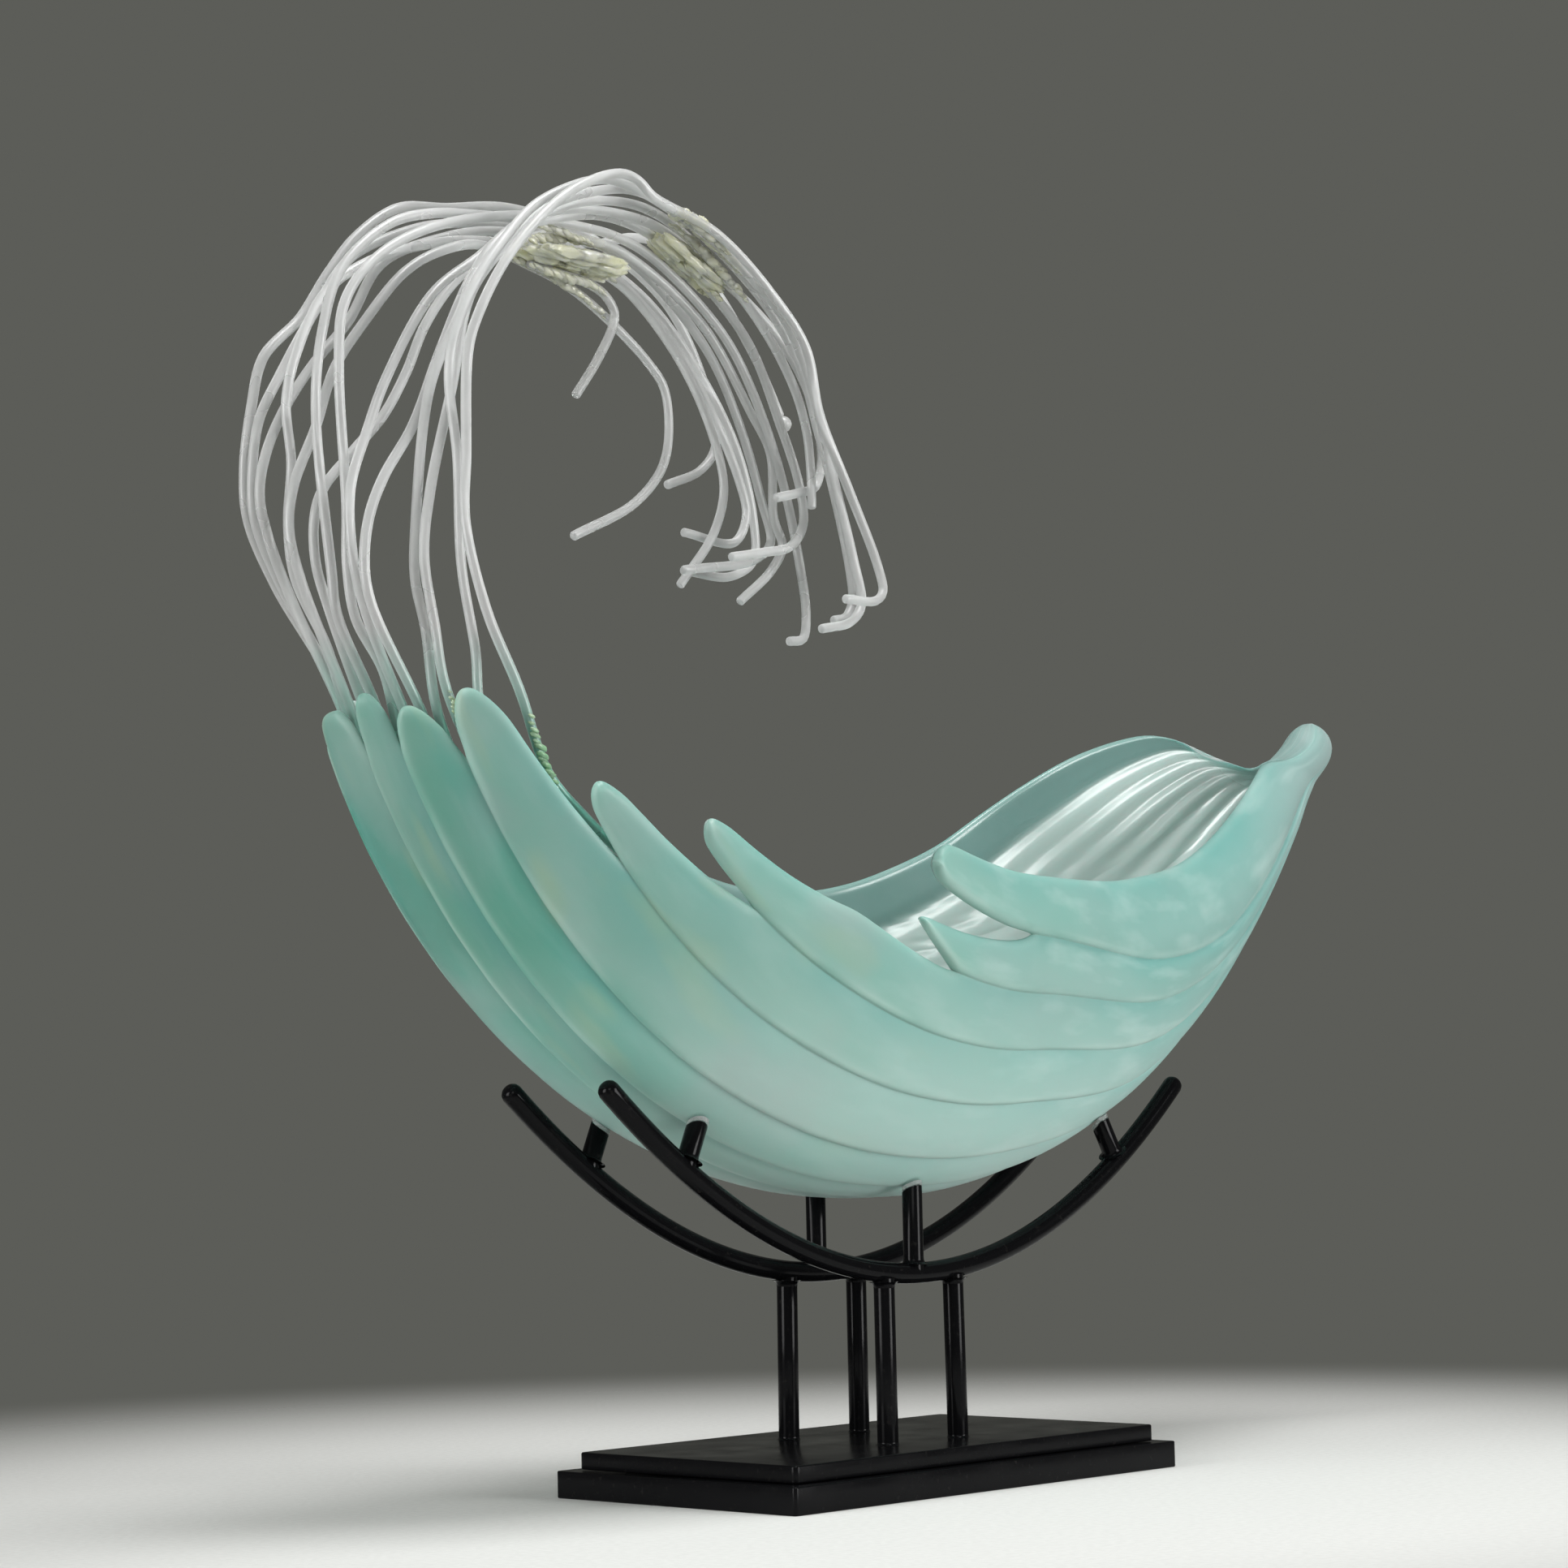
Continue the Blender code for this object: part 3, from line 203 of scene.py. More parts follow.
# Lane of each rod, its foot on the shell (angle along, angle across), then the points it bends through
# as (x, height over the shell's centre line)
GLASS_RODS = (
    (-8.5, ((127, -50.5), (138, -49), (147, -46), (152, -43.3), (157, -41)),
     ((-258, -70), (-274, -39), (-282, -3), (-279, 24), (-275, 69), (-269, 85), (-251, 113),
      (-218, 144), (-188, 157.6), (-177, 156.6), (-168, 151), (-129, 141), (-96, 120), (-74, 98), (-66, 69),
      (-49, 36), (-37, 4), (-36, -9), (-42, -14), (-62, -15))),
    (-7.5, ((134, -37.5), (147, -37), (155, -35.5), (163, -33)),
     ((-272, -53), (-278, -19), (-278, 25), (-281, 62), (-270, 93), (-248, 122),
      (-230, 139), (-194, 155), (-177, 155), (-141, 145), (-116, 134), (-81, 109), (-64, 78), (-54, 46),
      (-46, 5), (-45, -15), (-54, -24), (-74, -29))),
    (-6.5, ((142, -28.5), (153, -28.5), (166, -27.5)),
     ((-287, -44), (-292, -16), (-288, 11), (-275, 56), (-264, 96), (-237, 126), (-218, 141),
      (-175, 155), (-153, 153), (-131, 144), (-91, 119), (-68, 93), (-57, 65), (-47, 32), (-43, 2),
      (-44, -13), (-50, -21), (-58, -23))),
    (-5.5, ((141, -24), (152, -24), (164, -23.5)),
     ((-288, -45), (-293, -25), (-292, -2), (-283, 54), (-265, 90), (-258, 105), (-225, 134),
      (-204, 144), (-180, 150), (-156, 150), (-131, 141), (-91, 113), (-68, 86), (-59, 65), (-57, 43),
      (-58, 30))),
    (-4.5, ((143, -19.5), (153, -19.5), (165, -19.5)),
     ((-312, -36), (-315, -20), (-312, -1), (-304, 16), (-288, 39), (-274, 69), (-256, 104),
      (-242, 122), (-223, 136), (-199, 144), (-171, 147), (-146, 145), (-121, 135), (-78, 112), (-57, 92),
      (-47, 73), (-44, 55), (-49, 41), (-60, 37), (-75, 33))),
    (-3.5, ((143, -15), (153, -15), (164, -15)),
     ((-311, -37), (-317, -13), (-317, 11), (-308, 35), (-297, 59), (-272, 97), (-246, 117),
      (-228, 131), (-204, 140), (-176, 146), (-151, 144), (-126, 134), (-86, 104), (-66, 69), (-54, 41),
      (-53, 24), (-62, 13), (-81, 8), (-101, 4))),
    (-2.5, ((144, -10.5), (154, -10.5), (163, -10.5)),
     ((-297, -61), (-311, -41), (-315, -21), (-315, 5), (-318, 61), (-315, 87), (-299, 108), (-269, 126),
      (-218, 140), (-190, 141), (-161, 140), (-137, 133), (-94, 104), (-71, 70), (-58, 38), (-51, 5),
      (-49, -16), (-52, -28), (-61, -30))),
    (-1.5, ((144, -5), (154, -5), (166.5, -5)),
     ((-315, -39), (-318, -21), (-326, 45), (-322, 77), (-312, 103), (-286, 126), (-264, 134),
      (-237, 138), (-209, 140), (-181, 138), (-152, 135), (-104, 110), (-74, 74), (-62, 57), (-61, 27),
      (-56, 15), (-64, 3), (-85, -13))),
    (-0.5, ((145, 0.5), (155, 0.5), (166.5, 0.5)),
     ((-314, -36), (-321, -18), (-322, 0), (-318, 12), (-303, 29), (-286, 47), (-274, 66),
      (-263, 88), (-244, 111), (-214, 130), (-190, 138), (-161, 138), (-137, 131), (-97, 101), (-77, 70),
      (-63, 35), (-58, 17), (-69, 8), (-114, -1))),
    (0.5, (),
     ((-199, 125), (-181, 123), (-167, 122), (-155, 118), (-149, 111), (-150, 105), (-160, 88), (-173, 71))),
    (1.5, ((146, 8.5), (156, 8.5), (166, 8.5)),
     ((-321, -23), (-327, -3), (-325, 14), (-314, 39), (-304, 65), (-287, 88), (-265, 112),
      (-245, 124), (-224, 130), (-196, 126), (-172, 120), (-147, 108), (-123, 92), (-114, 82), (-112, 60),
      (-117, 45), (-134, 28), (-170, 10))),
    (2.5, ((146, 13.5), (156, 13.5), (165, 13.5)),
     ((-302, -49), (-319, -22), (-323, -1), (-322, 25), (-325, 50), (-318, 74), (-304, 98), (-280, 115),
      (-242, 129), (-215, 134), (-186, 136), (-157, 133), (-133, 126), (-100, 99), (-80, 69), (-72, 43),
      (-78, 22), (-99, -4))),
    (3.5, ((146, 18.5), (156, 18.5), (166, 18.5)),
     ((-316, -30), (-329, -5), (-333.7, 11), (-331, 28), (-321, 49), (-307, 68), (-288, 89),
      (-270, 116), (-233, 134), (-205, 141), (-177, 142), (-148, 138), (-103, 111), (-75, 79), (-57, 49),
      (-52, 33), (-59, 20), (-92, 21))),
    (4.5, ((146, 23.5), (156, 23.5), (168, 23)),
     ((-318, -23), (-332, 2), (-333.8, 19), (-331, 42), (-320, 63), (-301, 93), (-283, 117),
      (-247, 136), (-220, 143), (-187, 147), (-157, 144), (-110, 126), (-75, 95), (-53, 64), (-42, 33),
      (-41, 14), (-56, 5), (-86, 5))),
    (5.5, ((146, 28.5), (156, 28.5), (167.5, 28.5)),
     ((-316, -22), (-331, 3), (-333.7, 23), (-331, 48), (-325, 70), (-305, 90), (-291, 110),
      (-275, 129), (-252, 145), (-224, 150), (-191, 156), (-162, 155), (-133, 149), (-90, 126), (-66, 88),
      (-62, 65), (-72, 53), (-93, 44))),
    (6.5, (),
     ((-168, 154), (-134, 150), (-108, 157), (-87, 157), (-71, 151), (-55, 141), (-32, 116), (-22, 102),
      (-13, 87))),
)
LANES_LEFT_OF = -190.0  # left of this x a rod keeps to its lane over the crown and to its foot below
LANES_FROM = 70.0
LANES_OVER = 140.0
END_BEAD_DIAMETER = 8.0
END_BEAD_SHARE = 0.97  # the melted bead's size, as a share of that
END_BEAD_SINK = 0.3  # how far past the rod's end its middle is, besides the rod's own radius

# Adhesive: centre (x, y, height), half sizes, slope in degrees
GLUE_LUMPS = (
    ((-178.0, -2.0, 129.0), (30.0, 15.0, 6.0), 1.0),
    ((-126.0, -20.0, 133.0), (26.0, 9.0, 5.0), 25.0),
    ((-143.0, -38.0, 147.0), (9.0, 6.5, 4.0), 12.0),
)

# Runs of adhesive along the rods: rod number, from x to x, from height to height, thickness
GLUE_STRIPS = (
    (2, (-150.0, -118.0), (112.0, 170.0), 1.7), (3, (-148.0, -104.0), (112.0, 170.0), 2.0),
    (4, (-146.0, -98.0), (108.0, 170.0), 1.9), (5, (-138.0, -100.0), (108.0, 170.0), 1.7),
    (6, (-132.0, -104.0), (105.0, 170.0), 1.4), (8, (-210.0, -172.0), (112.0, 170.0), 1.5),
    (9, (-208.0, -160.0), (112.0, 170.0), 1.7), (10, (-200.0, -156.0), (118.0, 170.0), 1.8),
    (11, (-214.0, -150.0), (106.0, 170.0), 1.7), (12, (-180.0, -140.0), (112.0, 170.0), 1.4),
    (1, (-268.0, -236.0), (-118.0, -76.0), 1.3), (3, (-292.0, -266.0), (-104.0, -70.0), 1.3),
    (2, (-276.0, -256.0), (-104.0, -70.0), 1.1),
)
GLUE_LANE = 4.4  # width of one run of drops in a lump
GLUE_DROPS = 3  # and how many there are in it
GLUE_SPREAD = 0.85  # share of the lump's outline that their middles fill
GLUE_RUN_SLOPE = 20.0  # degrees
GLUE_RUN_SIDE = (0.0, -0.4 * GLASS_ROD_DIAMETER, -0.25 * GLASS_ROD_DIAMETER)  # a run's place on its rod
GLUE_RUN_SCATTER = 1.4
GLUE_DROP_LONG = 2.4  # length of a run's drops, in widths
VARY_SHIFTS = (11.3, 37.9, 71.7)  # places along X at which three uneven values are read

# Camera, from the photograph: the place it was taken from and the way it looked, in degrees
CAMERA_AT = (-1.24720, -1.13932, 0.15919)
CAMERA_AZIMUTH = -46.424
CAMERA_ELEVATION = -5.463
CAMERA_ROLL = -1.25
CAMERA_LENS = 83.85
CAMERA_SENSOR = 36.0

# Studio, in metres and watts: lamp, place, size, power
LAMPS_FACE = (0.0, 0.0, 0.32)
LAMPS = (
    ("left_soft", (-2.05, 0.35, 0.60), (0.9, 1.2), 33.0),
    ("right_soft", (0.75, -2.05, 0.55), (0.9, 1.2), 41.0),
    ("front_soft", (-1.75, -1.65, 1.25), (1.0, 0.8), 8.0),
    ("top_soft", (-0.10, -0.45, 1.85), (0.7, 0.7), 21.0),
)
BACKDROP = (0.107, 0.109, 0.098)
FLOOR_RADIUS = 2.4
FLOOR_SIDES = 128
FLOOR_FADES = (0.30, 0.85)  # distances from the middle between which the floor gives way to the backdrop


def new_material(name):
    """A material, its node tree and its main shader."""
    made = bpy.data.materials.new(name)
    made.use_nodes = True
    return made, made.node_tree, made.node_tree.nodes["Principled BSDF"]


def feed(tree, socket, value):
    """Links an input to another node's output, or sets it to a plain value."""
    if isinstance(value, bpy.types.NodeSocket):
        tree.links.new(value, socket)
    elif socket.type == "RGBA":
        socket.default_value = (*value, 1.0)
    else:
        socket.default_value = value


def set_inputs(tree, node, **values):
    """Feeds a node's inputs by name, with _ for each space."""
    for name, value in values.items():
        feed(tree, node.inputs[name.replace("_", " ")], value)
    return node


def add_node(tree, kind, **values):
    """A shader node with its inputs fed by name."""
    return set_inputs(tree, tree.nodes.new(kind), **values)


def noise_field(tree, scale, detail=3.0, roughness=0.5, place=None):
    """A noise pattern, in the piece's own metres where no other place is given."""
    if place is None:
        place = tree.nodes.new("ShaderNodeTexCoord").outputs["Object"]
    pattern = add_node(tree, "ShaderNodeTexNoise", Vector=place, Scale=scale, Detail=detail,
                       Roughness=roughness)
    return pattern.outputs["Fac"]


def ramp(tree, source, stops):
    """Turns a value into a colour by its stops, each (position, colour)."""
    node = add_node(tree, "ShaderNodeValToRGB", Fac=source)
    elements = node.color_ramp.elements
    while len(elements) < len(stops):
        elements.new(0.5)
    for element, (position, colour) in zip(elements, stops):
        element.position = position
        element.color = (*colour, 1.0)
    return node.outputs["Color"]


def map_range(tree, source, low, high, to_low, to_high):
    """Turns a value between low and high into one between to_low and to_high."""
    node = add_node(tree, "ShaderNodeMapRange", Value=source, From_Min=low, From_Max=high, To_Min=to_low,
                    To_Max=to_high)
    return node.outputs["Result"]


def mix_colours(tree, factor, a, b, blend="MIX"):
    """Mixes two colours, each a socket or an (r, g, b)."""
    node = tree.nodes.new("ShaderNodeMix")
    node.data_type = "RGBA"
    node.blend_type = blend
    for number, value in ((0, factor), (6, a), (7, b)):
        feed(tree, node.inputs[number], value)
    return node.outputs[2]


def lay_over(tree, colour, layers):
    """Lays colours over the first one, each (mask, colour)."""
    for mask, tint in layers:
        colour = mix_colours(tree, mask, colour, tint)
    return colour


def add_bump(tree, shader, height, strength, distance):
    bump = add_node(tree, "ShaderNodeBump", Height=height, Strength=strength, Distance=distance)
    set_inputs(tree, shader, Normal=bump.outputs["Normal"])


def position_axis(tree, axis):
    """The piece's own X, Y or Z, in metres."""
    place = tree.nodes.new("ShaderNodeTexCoord").outputs["Object"]
    return add_node(tree, "ShaderNodeSeparateXYZ", Vector=place).outputs[axis]


def attribute(tree, name):
    """A value that the shell's points carry."""
    node = tree.nodes.new("ShaderNodeAttribute")
    node.attribute_name = name
    return node.outputs["Fac"]


def times(tree, product, *more):
    """Multiplies values, each a socket or a number."""
    for value in more:
        node = tree.nodes.new("ShaderNodeMath")
        node.operation = "MULTIPLY"
        feed(tree, node.inputs[0], product)
        feed(tree, node.inputs[1], value)
        product = node.outputs[0]
    return product


def patches(tree, pattern, low, high):
    """Soft patches of a pattern: 0 between them and 1 in them."""
    return ramp(tree, pattern, ((low, (0.0,) * 3), (high, (1.0,) * 3)))


def spots(tree, scale, low, high, detail):
    """Soft round patches."""
    return patches(tree, noise_field(tree, scale, detail), low, high)


def streaks(tree, along_scale, across_scale, low, high, detail=1.5):
    """Soft patches drawn out along the shell's ribs."""
    place = add_node(tree, "ShaderNodeCombineXYZ", X=times(tree, attribute(tree, "along"), along_scale),
                     Y=times(tree, attribute(tree, "across"), across_scale))
    return patches(tree, noise_field(tree, 1.0, detail, place=place.outputs["Vector"]), low, high)


def uneven(tree, scale, detail, low, high):
    """A roughness that varies softly over the surface, from low to high."""
    return map_range(tree, noise_field(tree, scale, detail), 0.3, 0.7, low, high)


def sea_glass():
    """Etched sea-green glass. Deeper and cloudier towards the fingers, with painted highlights on its rounded
    edges and laps, painted shade beside each lap and a painted glow at the bottom; the inner face was
    fire-polished in the kiln, so it is glossier than the outer one, and its paler, greyer colour is painted
    highlight and reflection, with painted shade in the band under each rim."""
    made, tree, shader = new_material("etched_sea_glass")
    x = position_axis(tree, "X")
    across, inner = attribute(tree, "across"), attribute(tree, "inner")

    def by_x(low, high, to_low, to_high):
        """A strength that changes along the piece, from its fingers at the left to its prow."""
        return map_range(tree, x, low, high, to_low, to_high)

    base = ramp(tree, by_x(-0.30, 0.37, 0.0, 1.0), (
        (0.0, (0.175, 0.43, 0.35)), (0.3, (0.255, 0.48, 0.41)), (0.55, (0.275, 0.485, 0.435)),
        (0.8, (0.30, 0.51, 0.47)), (1.0, (0.36, 0.475, 0.46))))
    rib_tint = ramp(tree, attribute(tree, "rib"), (
        (0.0, (1.0, 1.0, 1.0)), (0.2, (1.1, 1.0, 1.03)), (0.30, (1.4, 1.04, 1.1)), (0.345, (0.62, 0.86, 0.8)),
        (0.43, (0.76, 0.85, 0.80)), (0.5, (0.66, 0.75, 0.72)), (1.0, (0.8, 0.85, 0.83))))
    deep = times(tree, streaks(tree, 0.42, 1.0, 0.46, 0.66), by_x(-0.26, 0.20, 0.85, 0.2),
                 map_range(tree, across, 4.7, 5.1, 0.4, 1.0))
    # painted shade: deeper teal in the hollow beside each lap, where shade falls under the rib that laps over
    # it
    painted_lap_shade = times(tree, attribute(tree, "low"), by_x(-0.22, 0.10, 0.62, 0.7),
                   map_range(tree, streaks(tree, 0.6, 0.9, 0.35, 0.6), 0.0, 1.0, 0.45, 1.0))
    grey = times(tree, spots(tree, 15.0, 0.52, 0.70, 1.0), by_x(-0.26, 0.10, 0.7, 0.15),
                 map_range(tree, across, 5.0, 5.7, 1.0, 0.45))
    warm = times(tree, streaks(tree, 0.7, 1.3, 0.58, 0.70), by_x(-0.20, 0.0, 0.35, 0.0))
    mist = times(tree, streaks(tree, 0.9, 2.0, 0.50, 0.72, 3.0), by_x(-0.10, 0.15, 0.1, 0.42))
    # painted glow: the bottom of the shell is painted paler, standing in for light that passes through the
    # thin wall and bounces up from below
    under = map_range(tree, position_axis(tree, "Z"), 0.13, 0.24, 0.55, 0.0)
    # painted highlight and painted shade on the inner face: pale where the flutes catch the light, dark grey
    # teal in the band under each rim that lies in shade
    inside = mix_colours(tree, attribute(tree, "band"), (0.70, 0.80, 0.77), (0.22, 0.35, 0.33))
    # painted highlight: a pale line where the rounded edge of each lap catches the light
    line = times(tree, attribute(tree, "line"), streaks(tree, 0.8, 2.0, 0.38, 0.62), 0.3)
    ends = times(tree, map_range(tree, attribute(tree, "along"), 15.6, 16.7, 0.0, 0.38),
                 by_x(-0.2, -0.1, 1.0, 0.0))
    colour = lay_over(tree, base, (
        (by_x(-0.24, 0.04, 1.0, 0.0), mix_colours(tree, 1.0, base, rib_tint, "MULTIPLY")),
        (deep, (0.075, 0.37, 0.285)),
        (painted_lap_shade, (0.115, 0.40, 0.365)),
        (grey, (0.33, 0.42, 0.40)),
        (warm, (0.38, 0.50, 0.30)),
        (mist, (0.62, 0.78, 0.74)),
        (under, (0.66, 0.84, 0.80)),
        (times(tree, inner, 0.85), inside),
        (line, (0.66, 0.82, 0.76)),
        # painted highlight: the rounded free edges are painted pale, as if catching the light
        (times(tree, attribute(tree, "edge"), 0.2), (0.56, 0.74, 0.68)),
        (ends, (0.36, 0.50, 0.44)),
    ))
    etched = uneven(tree, 60.0, 4.0, 0.46, 0.56)
    roughness = times(tree, etched, map_range(tree, inner, 0.0, 1.0, 1.0, 0.42))
    set_inputs(tree, shader, Base_Color=colour, Roughness=roughness, Transmission_Weight=0.2, IOR=GLASS_IOR,
               Subsurface_Weight=0.8, Subsurface_Radius=(0.7, 1.0, 0.95), Subsurface_Scale=0.003)
    add_bump(tree, shader, noise_field(tree, 900.0, 4.0, 0.6), 0.06, 0.0004)
    return made


def rod_glass():
    """Frosted clear glass rod, with the shell's green creeping up from where it meets the shell."""
    made, tree, shader = new_material("frosted_clear_rod_glass")
    low = map_range(tree, position_axis(tree, "Z"), *GREEN_FADES, 1.0, 0.0)
    frost = ramp(tree, noise_field(tree, 70.0, 2.0), (
        (0.35, (0.86, 0.87, 0.865)), (0.65, (0.93, 0.94, 0.935))))
    set_inputs(tree, shader, Base_Color=mix_colours(tree, low, frost, (0.26, 0.62, 0.52)),
               Roughness=uneven(tree, 40.0, 2.0, 0.26, 0.34), Transmission_Weight=0.68, IOR=GLASS_IOR,
               Subsurface_Weight=0.6, Subsurface_Radius=(1.0, 1.0, 1.0), Subsurface_Scale=0.002,
               Sheen_Weight=1.0, Sheen_Roughness=0.35)
    add_bump(tree, shader, noise_field(tree, 500.0, 2.0), 0.05, 0.0003)
    return made


def adhesive():
    """Clear adhesive, yellowed, bubbly and a little dirty."""
    made, tree, shader = new_material("set_adhesive_yellowed")
    dirt = ramp(tree, noise_field(tree, 110.0, 4.0, 0.6), (
        (0.28, (0.34, 0.35, 0.25)), (0.35, (0.94, 0.94, 0.66)), (0.7, (0.98, 0.99, 0.86))))
    low = map_range(tree, position_axis(tree, "Z"), *GREEN_FADES, 1.0, 0.0)
    set_inputs(tree, shader, Base_Color=mix_colours(tree, low, dirt, (0.34, 0.60, 0.36)),
               Roughness=uneven(tree, 160.0, 2.0, 0.02, 0.12), Transmission_Weight=0.4, IOR=GLASS_IOR,
               Subsurface_Weight=0.5, Subsurface_Radius=(1.0, 1.0, 0.7), Subsurface_Scale=0.003)
    add_bump(tree, shader, noise_field(tree, 260.0, 3.0), 0.5, 0.0015)
    return made


def black_gloss(name, roughness_low, roughness_high):
    """Gloss black paint on steel, with a faint orange-peel surface and a little dust."""
    made, tree, shader = new_material(name)
    dust = spots(tree, 420.0, 0.62, 0.82, 6.0)
    colour = mix_colours(tree, dust, (0.0035, 0.0035, 0.004), (0.016, 0.015, 0.014))
    roughness = uneven(tree, 45.0, 4.0, roughness_low, roughness_high)
    set_inputs(tree, shader, Base_Color=colour, Roughness=roughness, IOR=1.45, Specular_IOR_Level=0.09)
    add_bump(tree, shader, noise_field(tree, 260.0, 2.0, 0.4), 0.06, 0.0005)
    return made


def clear_rubber():
    """Clear soft plastic of the pads, a little milky."""
    made, tree, shader = new_material("clear_soft_pad")
    tint = ramp(tree, noise_field(tree, 300.0, 2.0), ((0.3, (0.72, 0.80, 0.78)), (0.7, (0.85, 0.88, 0.87))))
    set_inputs(tree, shader, Base_Color=tint, Transmission_Weight=0.75, Roughness=0.22, IOR=1.45)
    add_bump(tree, shader, noise_field(tree, 500.0, 2.0), 0.1, 0.0003)
    return made


def dress(name, points, faces, made_of, body, nodes=(), smooth_angle=60.0, floats=None):
    """A piece from points in millimetres, faces outwards, that rides on a body and stands for CAD nodes."""
    mesh = bpy.data.meshes.new(name)
    mesh.from_pydata([tuple(float(c) * MM for c in p) for p in points], [], faces)
    for attribute_name, values in (floats or {}).items():
        stored = mesh.attributes.new(attribute_name, "FLOAT", "POINT")
        stored.data.foreach_set("value", values)
    mesh.materials.append(made_of)
    mesh.shade_smooth()
    mesh.set_sharp_from_angle(angle=math.radians(smooth_angle))
    mesh.validate()
    mesh.update()
    obj = bpy.data.objects.new(name, mesh)
    bpy.context.scene.collection.objects.link(obj)
    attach(obj, body)
    if nodes:
        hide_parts(*nodes)
    return obj


def circle(sides, side, other):
    """Directions round an axis, from two that lie square to it and to each other."""
    turns = [2 * math.pi * k / sides for k in range(sides)]
    return [math.cos(turn) * side + math.sin(turn) * other for turn in turns]


def tube_faces(rings, sides, closed_ends=True):
    """Faces over a stack of rings with the same number of points each, facing outwards."""
    faces = []
    for i in range(rings - 1):
        for k in range(sides):
            a, b = i * sides + k, i * sides + (k + 1) % sides
            faces.append((a, b, b + sides, a + sides))
    if closed_ends:
        top = (rings - 1) * sides
        faces.append(tuple(range(sides - 1, -1, -1)))
        faces.append(tuple(range(top, top + sides)))
    return faces


def ease(share):
    """Rises from 0 to 1 with level ends."""
    share = min(max(share, 0.0), 1.0)
    return share * share * (3 - 2 * share)


@lru_cache(maxsize=None)
def eased(table, at):
    """Reads a table by its first column, with smooth slopes at its rows (a cubic Hermite curve)."""
    rows = np.array(table, float)
    keys = rows[:, 0]
    at = min(max(at, keys[0]), keys[-1])
    i = int(min(np.searchsorted(keys, at, side="right") - 1, len(keys) - 2))

    def slope(j):
        if j in (0, len(keys) - 1):
            k = 0 if j == 0 else j - 1
            return (rows[k + 1, 1:] - rows[k, 1:]) / (keys[k + 1] - keys[k])
        before = (rows[j, 1:] - rows[j - 1, 1:]) / (keys[j] - keys[j - 1])
        after = (rows[j + 1, 1:] - rows[j, 1:]) / (keys[j + 1] - keys[j])
        share = (keys[j] - keys[j - 1]) / (keys[j + 1] - keys[j - 1])
        return before * (1 - share) + after * share

    span = keys[i + 1] - keys[i]
    u = (at - keys[i]) / span
    return ((2 * u**3 - 3 * u**2 + 1) * rows[i, 1:] + (u**3 - 2 * u**2 + u) * span * slope(i)
            + (3 * u**2 - 2 * u**3) * rows[i + 1, 1:] + (u**3 - u**2) * span * slope(i + 1))


def shell_skin(along, across):
    """The shell's outer face, before ribs: along and across in degrees."""
    keel, near_width, far_width, near_depth, far_depth, far_lead = eased(SHELL_SECTIONS, along)
    near_side = across < 0
    width, depth, lead = (near_width, near_depth, 0.0) if near_side else (far_width, far_depth, far_lead)
    p = math.radians(across)
    rise = 1 - math.cos(p)
    t = math.radians(along - lead * rise / (1 - math.cos(math.radians(GROOVE_ANGLES[-1]))))
    radius = keel - depth * rise
    return np.array((radius * math.cos(t), width * math.sin(p), SHELL_CENTRE_Z - radius * math.sin(t)))


def shell_normal(along, across):
    """Outward direction of the shell's face, in the plane of its cross-section."""
    t = math.radians(along)
    d_across = shell_skin(along, across + 0.5) - shell_skin(along, across - 0.5)
    normal = np.cross((-math.sin(t), 0.0, -math.cos(t)), d_across)
    return normal / np.linalg.norm(normal)


def wall_normal(along, across):
    """Direction in which the wall's thickness is laid off: in the narrow prow it fans out evenly."""
    square = shell_normal(along, across)
    share = ease((along - NARROW_UP_TO) / NARROW_FADE)
    t, p = math.radians(along), math.radians(across)
    fanned = np.array((math.cos(p) * math.cos(t), math.sin(p), -math.cos(p) * math.sin(t)))
    normal = square * share + fanned * (1 - share)
    return normal / np.linalg.norm(normal)


def groove(j, along):
    """Angle across the shell of groove j: the rims keep theirs, and the rest gather towards the keel."""
    own = GROOVE_ANGLES[j] + max(0.0, along - TWIST_FROM) * TWIST_RATE
    if j in (0, len(GROOVE_ANGLES) - 1):
        return own
    reach = GATHER_LEAST + max(0.0, abs(GROOVE_ANGLES[j]) - GATHER_LOW) * GATHER_SPREAD
    ahead = max(0.0, GATHER_FROM - along) / reach
    return own / (1 + GATHER_RATE * ahead * ahead)


def rib_stations(k):
    """Angles along rib k: the shared stations, then its own that round its tip."""
    own = [RIB_TIPS[k][0] - step for step in TIP_STEPS]
    slit_ends = [SLIT_ENDS[s] for s in (k - 1, k) if 0 <= s < len(SLIT_ENDS)]
    shared = [a for a in STATIONS if a <= own[0] - TIP_CLEAR or a in slit_ends and a < own[0]]
    return shared + own


def finger_edge(k, edge, along):
    """Angle across the shell of rib k's upper (0) or lower (1) edge."""
    count = len(RIB_TIPS)
    own = groove(k + edge, along)
    at_rim = (k == 0 and edge == 0) or (k == count - 1 and edge == 1)
    tip_along, tip_across, rounding = RIB_TIPS[k][:3]
    closing, curve, given_up = RIB_TIPS[k][3 + 3 * edge:6 + 3 * edge]
    start = tip_along - closing
    if not at_rim:
        start = max(start, SLIT_ENDS[k - 1 + edge])
        if along > SLIT_ENDS[k - 1 + edge]:
            own += SLIT_HALF_ANGLE * (1 if edge == 0 else -1)
    reach = min(max((along - start) / (tip_along - start), 0.0), 1.0)
    into_end = min(max(1 - (tip_along - along) / rounding, 0.0), 1.0)
    share = (1 - given_up * reach ** curve) * math.sqrt(1 - into_end * into_end)
    share = TIP_BLUNT + (1 - TIP_BLUNT) * share
    return tip_across + (own - tip_across) * share


